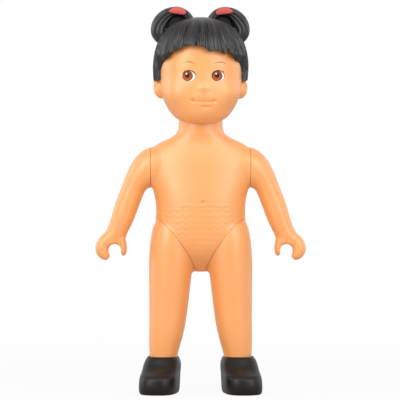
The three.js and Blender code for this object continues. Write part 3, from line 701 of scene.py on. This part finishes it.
class DollBodySizes(bpy.types.PropertyGroup):
    """Sizes and colours of the trunk, arms and legs"""

    voxel: length(
        name="Skin face size",
        description="Size of the faces of the smooth skin",
        default=0.5 * MM,
        min=0.1 * MM,
    )
    joint_gap: length(name="Joint gap", description="Room between a limb and the trunk", default=0.15 * MM)
    parting_gap: length(
        name="Parting gap", description="Room between the two halves of a moulding", default=0.1 * MM
    )
    grip_bore: length(name="Grip bore", description="Diameter of the open bore of a hand", default=5.7 * MM)
    skin: tint(name="Skin", description="Colour of the body plastic", default=(0.88, 0.35, 0.092, 1))
    skin_deep: tint(
        name="Deep skin",
        description="Colour that the body plastic drifts to",
        default=(0.85, 0.315, 0.076, 1),
    )


def skin_plastic(sizes):
    finish = {"roughness": 0.46, "drift": 0.6, "grain": 0.05, "gloss": 0.1, "glow": 0.12, "coat": 1.0}
    made = bpy.data.materials.get("skin plastic")
    return made or plastic("skin plastic", sizes.skin, sizes.skin_deep, **finish)


class DOLL_OT_body(bpy.types.Operator):
    """Models the trunk, arms and legs as one skin and parts it at the joints"""

    bl_idname = "doll.body"
    bl_label = "Trunk, arms and legs"

    def execute(self, context):
        sizes = context.scene.doll_body
        skin = skin_plastic(sizes)
        blank = self.blank(sizes)
        self.limbs(blank, sizes, skin)
        self.trunk(blank, sizes, skin)
        return {"FINISHED"}

    def blank(self, sizes):
        """The whole body in one skin, with the joints' fine rounding pressed in"""
        arm = tube("arm", leaning(ARM_ROWS))
        finger = tube("finger", leaning(FINGER_ROWS))
        thumb = tube("thumb", leaning(THUMB_ROWS))
        leg = tube("leg", [Ring(x, MIDDLE / MM, z, width, depth, 0) for z, x, width, depth in LEG_ROWS])
        limbs = joined("limbs", arm, finger, thumb, leg)
        finish_with(limbs, "MIRROR", use_mirror_merge=False)
        trunk = tube("trunk", upright(TRUNK_ROWS), sides=20)
        blank = one_skin(joined("body", trunk, limbs), sizes.voxel, passes=10)
        arm_low = 80 * MM
        hip_reach = 23 * MM
        for side in SIDES.values():
            soften_seam(blank, mirrored(SHOULDER, side), (1, 0, 0), lambda x, y, z: z > arm_low)
            hip = mirrored(HIP, side)
            normal = mirrored(HIP_OUT, side)
            soften_seam(blank, hip, normal, lambda x, y, z: (x * side > 0) & (np.abs(x) < hip_reach))
        self.relief(blank)
        return blank

    def relief(self, blank):
        """The navel, the line of a waistband and a faint knit below it"""
        knit_lift = 0.05 * MM
        knit_bend = 1.2
        band_width = 0.8
        points = places(blank)
        x, y, z = points.T
        inside = (MIDDLE - y) > 3 * MM
        for side in SIDES.values():
            depth = (points - np.array(mirrored(HIP, side))) @ np.array(mirrored(HIP_OUT, side))
            inside = inside * ramp(-depth, width=1.5 * MM, lag=0.5)
        inside *= ramp(WAISTBAND * MM - z, width=band_width * MM, lag=0.5)
        across = x * math.tau / (KNIT * MM)
        rows = z * math.tau / (KNIT * MM) * 1.4
        points[:, 1] -= knit_lift * inside * np.sin(rows + knit_bend * np.sin(across))
        put(blank, points)
        score(blank, ((-8.8, WAISTBAND), (13.6, WAISTBAND)), width=band_width, depth=-0.14)
        for x, z, reach, deep in NAVEL:
            push(blank, beside(1, x, -BELLY_FRONT, z), reach * MM, mm(0, deep, 0))

    def limbs(self, blank, sizes, skin):
        hand_out = 30 * MM
        ankle_top = 20 * MM
        for name, side in SIDES.items():
            out = Vector((side, 0, 0))
            arm = copy_of(blank, "arm")
            cut(arm, (SHOULDER.x + sizes.joint_gap) * out, -out)
            keep_linked(arm, lambda x, y, z: x * side > hand_out)
            grip = beside(side, GRIP[0], 0, GRIP[1])
            carve(arm, cylinder("bore", grip, sizes.grip_bore / 2, depth=20 * MM, sides=64))
            halves(arm, "arm_" + name, skin, sizes.parting_gap)
            leg = copy_of(blank, "leg")
            normal = mirrored(HIP_OUT, side)
            cut(leg, mirrored(HIP, side) + normal * sizes.joint_gap, -normal)
            keep_linked(leg, lambda x, y, z: (z < ankle_top) & (x * side > 0))
            halves(leg, "leg_" + name, skin, sizes.parting_gap)

    def trunk(self, blank, sizes, skin):
        chest_half = 5 * MM
        chest_low = 90 * MM
        for side in SIDES.values():
            out = Vector((side, 0, 0))
            cut(blank, SHOULDER.x * out, out)
        for side in SIDES.values():
            cut(blank, mirrored(HIP, side), mirrored(HIP_OUT, side))
        keep_linked(blank, lambda x, y, z: (np.abs(x) < chest_half) & (z > chest_low))
        cut(blank, NECK, Vector((0, 0, 1)))
        halves(blank, "torso", skin, sizes.parting_gap)


class DollHeadSizes(bpy.types.PropertyGroup):
    """Sizes and colours of the head and its printed face"""

    voxel: length(
        name="Face size",
        description="Size of the faces of the head's smooth skin",
        default=0.28 * MM,
        min=0.1 * MM,
    )
    turn: FloatProperty(
        name="Turn",
        description="How far the head is turned to the doll's left",
        default=math.radians(3),
        unit="ROTATION",
    )
    neck_room: length(
        name="Neck room", description="Room round the neck in the underside of the head", default=0.35 * MM
    )
    iris: tint(name="Iris", description="Colour of the printed irises", default=(0.45, 0.105, 0.024, 1))


def skull():
    return tube("skull", upright(HEAD_ROWS), sides=24, square=FACE_SQUARE)


class DOLL_OT_head(bpy.types.Operator):
    """Models the head with its ears, nose and mouth, and parts it into two halves"""

    bl_idname = "doll.head"
    bl_label = "Head"

    def execute(self, context):
        sizes = context.scene.doll_head
        body = context.scene.doll_body
        head = one_skin(joined("head", skull(), *self.ears()), sizes.voxel, passes=8)
        turned(head, sizes.turn)
        self.features(head)
        depth = 20 * MM
        middle = NECK + Vector((0, 0, sizes.neck_room - depth / 2))
        radius = TRUNK_ROWS[-1][1] * MM + sizes.neck_room
        carve(head, cylinder("neck room", middle, radius, depth, sides=96, turn=(0, 0, 0)))
        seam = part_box("head_back")[0].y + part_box("head_front")[1].y
        halves(head, "head", skin_plastic(body), body.parting_gap, seam / 2, sizes.turn)
        return {"FINISHED"}

    def ears(self):
        pair = []
        tilt = math.radians(8)
        for side in SIDES.values():
            ear = start(
                "ear",
                bpy.ops.mesh.primitive_uv_sphere_add,
                radius=MM,
                location=beside(side, 17.1, 0.6, 130.2),
                rotation=(-tilt, side * tilt, 0),
                scale=(3.1, 3.0, 4.5),
            )
            hollow = beside(side, 20.3, -1.2, 130.4)
            pair.append(push(ear, hollow, reach=2.2 * MM, move=mm(-side * 0.9, 0.5, 0)))
        return pair

    def features(self, head):
        """Presses the face's soft forms and lines into the skin"""
        points = places(head)
        front = ramp(MIDDLE - points[:, 1], width=6 * MM, lag=0.4)
        reach = max(row[2] for row in HEAD_ROWS)
        for x, z, wide, high, out in FACE_FORMS:
            away = np.hypot((points[:, 0] - x * MM) / wide, (points[:, 2] - z * MM) / high) / MM
            outward = np.array(Vector((x, -reach, 0)).normalized())
            points += (bell(away) * front * out * MM)[:, None] * outward
        put(head, points)
        for path, width, depth in FACE_LINES:
            score(head, path, width, depth)


def ink(name, colour, deep):
    """A thin matt print"""
    return plastic(name, colour, deep, roughness=0.6, gloss=0.2)


def iris_paint(colour):
    """Brown print that is darker above and lighter below"""
    material = ink("iris print", colour, darker(colour, 0.6))
    tree = material.node_tree
    place = node(tree, "TexCoord").outputs["Object"]
    height = node(tree, "SeparateXYZ", Vector=place).outputs["Z"]
    middle = EYES["left"]["iris"][1] * MM
    fade = {"From_Min": middle - 1.6 * MM, "From_Max": middle + 1.8 * MM, "To_Max": 0.75}
    shade = node(tree, "MapRange", Value=height, **fade).outputs["Result"]
    base = tree.nodes["Principled BSDF"].inputs["Base Color"]
    print_colour = base.links[0].from_socket
    feed(tree, base, blend_colours(tree, shade, print_colour, darker(colour, 0.35)))
    return material


def strip(name, path, widths):
    """A flat strip in front of the doll, along a smooth path and with half widths along it"""
    piece = start(name, bpy.ops.mesh.primitive_grid_add, x_subdivisions=40, y_subdivisions=8, size=1)
    points = places(piece)
    share = points[:, 0] + 0.5
    knots = np.linspace(0, 1, len(path))
    degree = min(4, len(path) - 1)
    across, up = (np.poly1d(np.polyfit(knots, line, degree)) for line in zip(*path))
    heading = np.hypot(across.deriv()(share), up.deriv()(share))
    half = 2 * points[:, 1] * np.interp(share, np.linspace(0, 1, len(widths)), widths) / heading
    x = across(share) - half * up.deriv()(share)
    z = up(share) + half * across.deriv()(share)
    return put(piece, np.stack((x, np.full_like(x, PRINT_START), z), 1) * MM)


class DOLL_OT_face(bpy.types.Operator):
    """Prints the eyes and brows on the face"""

    bl_idname = "doll.face"
    bl_label = "Printed eyes and brows"

    def execute(self, context):
        white = ink("eye white", (0.88, 0.80, 0.76, 1), (0.82, 0.72, 0.67, 1))
        dark = ink("eye line", (0.085, 0.03, 0.012, 1), (0.06, 0.02, 0.009, 1))
        pupil = ink("pupil", (0.02, 0.008, 0.004, 1), (0.03, 0.012, 0.006, 1))
        brow = ink("brow line", (0.34, 0.105, 0.024, 1), (0.28, 0.085, 0.02, 1))
        iris = iris_paint(context.scene.doll_head.iris)
        for label, eye in EYES.items():
            x, z = eye["iris"]
            shift, wide, high = eye["white"]
            edge = 0.2
            # From the skin out: place across and up, half width, half height, lift and print
            discs = (
                ("line", x + shift, z + 0.03, wide + edge, high + edge, 0.03, dark),
                ("white", x + shift, z - 0.1, wide, high, 0.05, white),
                ("rim", x, z, 2.2, 2.2, 0.07, dark),
                ("iris", x, z - 0.05, 1.95, 1.95, 0.09, iris),
                ("pupil", x - 0.1, z + 0.1, 0.95, 1.0, 0.11, pupil),
                ("shine", x - 0.5, z + 0.85, 0.34, 0.38, 0.13, white),
            )
            for part, *disc in discs:
                self.disc(f"eye_{label}.{part}", *disc)
            for number, (path, width) in enumerate(zip(eye["lashes"], LASH_WIDTHS)):
                self.line(f"eye_{label}.lash{number}", path, width, lift=0.1, material=dark)
            self.line(f"brow_{label}.print", eye["brow"], width=0.15, lift=0.05, material=brow)
        return {"FINISHED"}

    def disc(self, name, across, up, wide, high, lift, material):
        middle = mm(across, PRINT_START, up)
        add = bpy.ops.mesh.primitive_circle_add
        disc = start(name, add, vertices=48, radius=MM, fill_type="NGON", location=middle, rotation=UPENDED)
        edit_all()
        bpy.ops.transform.resize(value=(wide, 1, high), center_override=middle)
        rings = 5
        for _ in range(rings):
            bpy.ops.mesh.inset(thickness=min(wide, high) * MM / (rings + 1))
        bpy.ops.mesh.poke()
        self.printed(disc, lift, material)

    def line(self, name, path, width, lift, material):
        """A painted line along a path, thinning towards its ends"""
        taper = (0.25, 0.8, 1, 0.8, 0.25)
        self.printed(strip(name, path, [share * width for share in taper]), lift, material)

    def printed(self, piece, lift, material):
        """Lays a flat print on the face from the front and gives it a thickness"""
        finish_with(
            piece,
            "SHRINKWRAP",
            target=bpy.data.objects["head_front.skin"],
            wrap_method="PROJECT",
            use_project_y=True,
            offset=lift * MM,
        )
        finish_with(piece, "SOLIDIFY", thickness=0.06 * MM)
        dress(piece, material, "head", "skin")


class DollHairSizes(bpy.types.PropertyGroup):
    """Sizes and colours of the moulded hair"""

    strands: IntProperty(
        name="Strands", description="Number of fine strands round the head", default=104, min=20, max=150
    )
    strand_depth: length(
        name="Strand depth", description="Depth of the grooves between the fine strands", default=0.18 * MM
    )
    locks: IntProperty(
        name="Locks", description="Number of locks round the head", default=21, min=7, max=31
    )
    lock_depth: length(
        name="Lock depth", description="Depth of the hollows between the locks", default=0.9 * MM
    )
    squareness: FloatProperty(
        name="Squareness",
        description="How square the head of hair is from above, where 2 is an ellipse",
        default=2.2,
        min=2,
        max=4,
    )
    hair: tint(name="Hair", description="Colour of the hair plastic", default=(0.012, 0.0115, 0.0125, 1))
    tie: tint(name="Tie", description="Colour of the hair ties", default=(0.7, 0.1, 0.085, 1))


def hair_plastic(sizes):
    finish = {"roughness": 0.32, "drift": 0.7, "grain": 0.08, "gloss": 0.42}
    made = bpy.data.materials.get("hair plastic")
    return made or plastic("hair plastic", sizes.hair, darker(sizes.hair, 0.5), **finish)


class DOLL_OT_hair(bpy.types.Operator):
    """Models the hair cap with its strands and jagged fringe"""

    bl_idname = "doll.hair"
    bl_label = "Hair cap"

    def execute(self, context):
        sizes = context.scene.doll_hair
        cap = tube("cap", upright(HAIR_ROWS), sides=120, square=sizes.squareness)
        self.comb(cap, sizes)
        carve(cap, skull())
        wide, deep, high = mm(60, 40, 40)
        ears = mm(0, EAR_BACK, SIDEBURN_END) - Vector((0, deep, high)) / 2
        carve(cap, box("ear room", ears, (wide, deep, high)))
        behind = mm(0, EAR_BACK, EAR_BACK_END)
        slope = mm(*NAPE_END) - behind
        nape = behind + slope + slope.cross(Vector((1, 0, 0)))
        size = (wide, 2 * slope.length, 2 * slope.length)
        carve(cap, box("nape room", nape, size, (math.atan2(slope.z, slope.y), 0, 0)))
        turned(cap, context.scene.doll_head.turn)
        carve(cap, self.opening())
        cap.name = "hair_cap.strands"
        dress(cap, hair_plastic(sizes), "head", "hair", "hair_cap")
        return {"FINISHED"}

    def comb(self, cap, sizes):
        """Locks that run down from the crown, with fine strands along them"""
        cap_height = 40 * MM
        cap_middle = (0, MIDDLE, 135 * MM)
        points = places(cap)
        x, y, z = points.T
        around = np.arctan2(x, MIDDLE - y)
        down = (HAIR_ROWS[0][0] * MM - z) / cap_height
        locks = np.abs(np.cos(sizes.locks / 2 * around)) - 1
        wander = around + 0.1 * np.sin(5 * down + 3 * around) * down
        fine = np.sin(sizes.strands * wander + 2.0 * np.sin(9 * wander))
        wisps = np.abs(np.sin(19.5 * wander + 1.1)) - 1
        depth = sizes.lock_depth * locks + sizes.strand_depth * (fine + 1.5 * wisps)
        depth *= np.maximum(ramp(SMOOTH_CROWN * MM - z, width=4 * MM), 0.05)
        front = ramp(TEMPLE_FRONT - y / MM, width=6)
        low = ramp(TEMPLE_TOP - z / MM, width=6)
        depth -= TEMPLE_DRAW * MM * front * low
        outward = points - np.array(cap_middle)
        outward /= np.linalg.norm(outward, axis=1)[:, None]
        put(cap, points + outward * depth[:, None])

    def opening(self):
        """The jagged opening of the face, as a cutter that reaches from the front to the temples"""
        add = bpy.ops.mesh.primitive_circle_add
        cutter = start("opening", add, vertices=len(HAIRLINE), fill_type="NGON")
        front = -40
        depth = 36.5
        put(cutter, np.array([(x, front, z) for x, z in HAIRLINE]) * MM)
        edit_all()
        bpy.ops.mesh.extrude_region_move(TRANSFORM_OT_translate={"value": mm(0, depth, 0)})
        face_outward()
        return cutter


class DOLL_OT_buns(bpy.types.Operator):
    """Models the two looped buns and their red ties"""

    bl_idname = "doll.buns"
    bl_label = "Looped buns and ties"

    def execute(self, context):
        sizes = context.scene.doll_hair
        turn = context.scene.doll_head.turn
        red = plastic("tie paint", sizes.tie, darker(sizes.tie, 0.6), roughness=0.35, drift=0.8)
        for name, side in SIDES.items():
            loop = self.loop(side)
            tie = self.patch("tie", side, TIE_WIDTHS, lift=0.3)
            rim = self.patch("rim", side, [width + 0.35 for width in TIE_WIDTHS], lift=0.16)
            middle = beside(side, BUN_MIDDLE[0], BUN_BACK + 2.2, BUN_MIDDLE[1])
            web = cylinder("web", middle, radius=8.6 * MM, depth=1.4 * MM, sides=48)
            loop = joined(f"hair_loop_{name}.strands", loop, rim, web)
            tie.name = f"hair_tie_{name}.paint"
            dress(turned(loop, turn), hair_plastic(sizes), "head", "hair", f"hair_loop_{name}")
            dress(turned(tie, turn), red, "head", "hair_tie", f"hair_tie_{name}")
        return {"FINISHED"}

    def loop(self, side):
        """A strand that goes round the bun's middle, twisted into finer strands"""
        groove = 0.15
        y = MIDDLE / MM + BUN_BACK
        rings = []
        for turn in np.linspace(*LOOP_TURNS, 2 * len(LOOP_WIDTHS) - 1):
            wide = self.width(turn)
            across, up = self.spot(side, turn, wide)
            rings.append(Ring(across, y, up, wide, BUN_DEPTH, -side * turn))
        loop = tube("loop", rings, sides=24, square=LOOP_SQUARE)
        points = places(loop) / MM
        turns, wide, away = self.strand(points, side)
        around = np.radians(turns)
        section = np.arctan2((points[:, 1] - y) / BUN_DEPTH, away / wide)
        wave = np.sin(13 * section + 6 * around) + 0.6 * np.sin(7 * section + 4 * around + 1)
        flat = np.cos(section)
        outward = np.stack((flat * np.cos(around) * side, np.sin(section), flat * np.sin(around)), 1)
        return put(loop, (points + outward * (wave * groove)[:, None]) * MM)

    def width(self, turns):
        """Half width of the loop's strand at these turns round the bun"""
        return np.interp(turns, np.linspace(*LOOP_TURNS, len(LOOP_WIDTHS)), LOOP_WIDTHS)

    def radius(self, turns):
        """Outer radius of the loop at these turns round the bun"""
        return np.interp(turns, *zip(*LOOP_TUCK))

    def spot(self, side, turn, inset):
        """Place across and up at a turn round the bun, this far in from the loop's outside"""
        x, z = BUN_MIDDLE
        reach = self.radius(turn) - inset
        angle = math.radians(turn)
        return side * (x + reach * math.cos(angle)), z + reach * math.sin(angle)

    def strand(self, points, side):
        """Turns of points round the bun, the strand's half widths there and distances out from its middle"""
        x, z = BUN_MIDDLE
        across = points[:, 0] * side - x
        up = points[:, 2] - z
        turns = np.degrees(np.arctan2(up, across))
        wide = self.width(turns)
        return turns, wide, np.hypot(across, up) - self.radius(turns) + wide

    def patch(self, name, side, widths, lift):
        """A leaf-shaped patch on the loop's front, pointed outside, and its like on the back"""
        turns = np.linspace(*TIE_TURNS, len(widths))
        patch = strip(name, [self.spot(side, turn, TIE_INSET) for turn in turns], widths)
        points = places(patch) / MM
        _, wide, away = self.strand(points, side)
        section = np.clip(np.abs(away) / (wide + lift), 0, 1)
        points[:, 1] = -(BUN_DEPTH + lift) * (1 - section**LOOP_SQUARE) ** (1 / LOOP_SQUARE)
        put(patch, points * MM)
        finish_with(patch, "SOLIDIFY", thickness=0.8 * MM)
        finish_with(patch, "MIRROR", use_axis=(False, True, False), use_mirror_merge=False)
        return put(patch, places(patch) + np.array((0, MIDDLE + BUN_BACK * MM, 0)))


class DollShoeSizes(bpy.types.PropertyGroup):
    """Sizes and colours of the shoes"""

    toe_out: FloatProperty(
        name="Toes out",
        description="How far each shoe is turned outwards",
        default=math.radians(10),
        unit="ROTATION",
    )
    shoe: tint(name="Shoe", description="Colour of the shoe plastic", default=(0.008, 0.006, 0.0055, 1))


class DOLL_OT_shoes(bpy.types.Operator):
    """Models the shoes and their sole plates"""

    bl_idname = "doll.shoes"
    bl_label = "Shoes and soles"

    def execute(self, context):
        sizes = context.scene.doll_shoes
        finish = {"roughness": 0.35, "drift": 0.7, "grain": 0.06, "gloss": 0.26}
        upper = plastic("shoe plastic", sizes.shoe, darker(sizes.shoe, 0.6), **finish)
        colours = ((0.015, 0.013, 0.012, 1), (0.03, 0.028, 0.026, 1))
        under = plastic("sole plastic", *colours, roughness=0.6, grain=0.2)
        for name, side in SIDES.items():
            shoe = self.footed(f"shoe_{name}.upper", SHOE_ROWS, side, sizes)
            dress(shoe, upper, f"leg_{name}", "shoe", f"shoe_{name}")
            sole = self.footed(f"sole_{name}.plate", SOLE_ROWS, side, sizes)
            dress(sole, under, f"leg_{name}", "sole", f"sole_{name}")
        return {"FINISHED"}

    def footed(self, name, rows, side, sizes):
        """A foot-shaped form from rows, broad at the toe, hollow at the instep and turned outwards"""
        ankle = beside(side, LEG_ROWS[-1][1], 0, 0)
        piece = tube(name, upright(rows, x=ankle.x / MM), sides=24, square=2.6)
        points = places(piece)
        toe = ramp(MIDDLE - 3 * MM - points[:, 1], width=12 * MM)
        points[:, 0] = ankle.x + (points[:, 0] - ankle.x) * (1 + 0.1 * toe * toe)
        collar = max(row[0] for row in SHOE_ROWS)
        points[:, 0] += side * np.interp(points[:, 2], (0, collar * MM), SHOE_OUT) * MM
        put(piece, points)
        instep = ankle + mm(side * SHOE_OUT[0] / 2, -10.6, 12.0)
        push(piece, instep, reach=mm(5.6, 6.0, 5.6), move=mm(0, 0.5, -0.5))
        return turned(piece, side * sizes.toe_out, ankle)


class DOLL_OT_axles(bpy.types.Operator):
    """Gives the hidden joint spools their plain white plastic"""

    bl_idname = "doll.axles"
    bl_label = "Joint spools"

    def execute(self, context):
        colours = ((0.70, 0.68, 0.62, 1), (0.60, 0.57, 0.50, 1))
        white = plastic("spool plastic", *colours, roughness=0.5, grain=0.1)
        for name, spool in frame["nodes"].items():
            if "axle" in name:
                spool.material_slots[0].material = white
        return {"FINISHED"}


class DOLL_OT_stage(bpy.types.Operator):
    """Makes the floor, the soft lights and the camera"""

    bl_idname = "doll.stage"
    bl_label = "Floor, lights and camera"

    def execute(self, context):
        scene = context.scene
        scene.view_settings.view_transform = "Standard"
        self.world(scene)
        self.floor()
        self.lights()
        self.camera(scene)
        return {"FINISHED"}

    def world(self, scene):
        """A white background that lights the doll less than it shows"""
        world = bpy.data.worlds.new("white studio")
        world.use_nodes = True
        scene.world = world
        tree = world.node_tree
        path = node(tree, "LightPath")
        seen = path.outputs["Is Camera Ray"]
        for ray in ("Is Glossy Ray", "Is Transmission Ray"):
            seen = maths(tree, "MAXIMUM", seen, path.outputs[ray])
        room = 0.4
        strength = maths(tree, "MULTIPLY_ADD", seen, 1 - room, room)
        fill(tree, tree.nodes["Background"], Color=(1, 1, 1, 1), Strength=strength)

    def floor(self):
        """A pale floor that the camera sees as white away from the doll"""
        floor = start("floor", bpy.ops.mesh.primitive_plane_add, size=6.0, location=mm(0, 0, -0.05))
        material = bpy.data.materials.new("white floor")
        material.use_nodes = True
        tree = material.node_tree
        shader = tree.nodes["Principled BSDF"]
        fill(tree, shader, Base_Color=(0.68, 0.68, 0.68, 1), Roughness=0.8)
        glow = node(tree, "Emission")
        place = node(tree, "TexCoord").outputs["Object"]
        away = node(tree, "VectorMath", {"operation": "LENGTH"}, Vector=place).outputs["Value"]
        ease = {"interpolation_type": "SMOOTHSTEP"}
        white = node(tree, "MapRange", ease, Value=away, From_Min=0.05, From_Max=0.5, To_Min=0.93)
        camera = node(tree, "LightPath").outputs["Is Camera Ray"]
        share = maths(tree, "MULTIPLY", camera, white.outputs["Result"])
        mixed = node(tree, "MixShader")
        for socket, value in zip(mixed.inputs, (share, shader.outputs[0], glow.outputs[0])):
            feed(tree, socket, value)
        fill(tree, tree.nodes["Material Output"], Surface=mixed.outputs[0])
        floor.data.materials.append(material)

    def lights(self):
        # Name, place and size in metres and power in watts
        lamps = (
            ("left softbox", (-0.42, -0.46, 0.36), (0.34, 0.62), 2.55),
            ("right softbox", (0.42, -0.46, 0.34), (0.34, 0.62), 2.1),
            ("top softbox", (0.0, -0.42, 0.55), (0.6, 0.3), 0.75),
            ("left rim softbox", (-0.8, 0.25, 0.25), (0.4, 0.8), 1.8),
            ("right rim softbox", (0.8, 0.25, 0.25), (0.4, 0.8), 1.0),
        )
        target = Vector((0, 0, 0.11))
        for name, place, size, power in lamps:
            lamp = bpy.data.lights.new(name, "AREA")
            lamp.shape = "RECTANGLE"
            lamp.size, lamp.size_y = size
            lamp.energy = power
            lit = bpy.data.objects.new(name, lamp)
            lit.location = place
            lit.rotation_euler = (target - Vector(place)).to_track_quat("-Z", "Y").to_euler()
            bpy.context.collection.objects.link(lit)

    def camera(self, scene):
        """A camera in front of the doll, whose picture spans a width at the doll's middle"""
        away = 0.9
        span = 0.1713
        aim = Vector((-0.00026, MIDDLE, 0.0824))
        camera = bpy.data.cameras.new("front camera")
        camera.lens = camera.sensor_width * away / span
        view = bpy.data.objects.new("front camera", camera)
        view.location = aim - Vector((0, away, 0))
        view.rotation_euler = UPENDED
        bpy.context.collection.objects.link(view)
        scene.camera = view


class DOLL_PT_panel(bpy.types.Panel):
    """Lists the steps that model the doll"""

    bl_idname = "DOLL_PT_panel"
    bl_label = "Jointed play doll"
    bl_space_type = "VIEW_3D"
    bl_region_type = "UI"
    bl_category = "Doll"

    def draw(self, context):
        for step in STEPS:
            self.layout.operator(step.bl_idname)


STEPS = (
    DOLL_OT_body,
    DOLL_OT_head,
    DOLL_OT_face,
    DOLL_OT_hair,
    DOLL_OT_buns,
    DOLL_OT_shoes,
    DOLL_OT_axles,
    DOLL_OT_stage,
)
SIZES = {
    "doll_body": DollBodySizes,
    "doll_head": DollHeadSizes,
    "doll_hair": DollHairSizes,
    "doll_shoes": DollShoeSizes,
}
CLASSES = (*SIZES.values(), *STEPS, DOLL_PT_panel)


def register():
    for cls in CLASSES:
        bpy.utils.register_class(cls)
    for name, sizes in SIZES.items():
        setattr(bpy.types.Scene, name, PointerProperty(type=sizes))


def unregister():
    for name in SIZES:
        delattr(bpy.types.Scene, name)
    for cls in reversed(CLASSES):
        bpy.utils.unregister_class(cls)


def main():
    register()
    bpy.ops.doll.body()
    bpy.ops.doll.head()
    bpy.ops.doll.face()
    bpy.ops.doll.hair()
    bpy.ops.doll.buns()
    bpy.ops.doll.shoes()
    bpy.ops.doll.axles()
    bpy.ops.doll.stage()


if __name__ == "__main__":
    main()
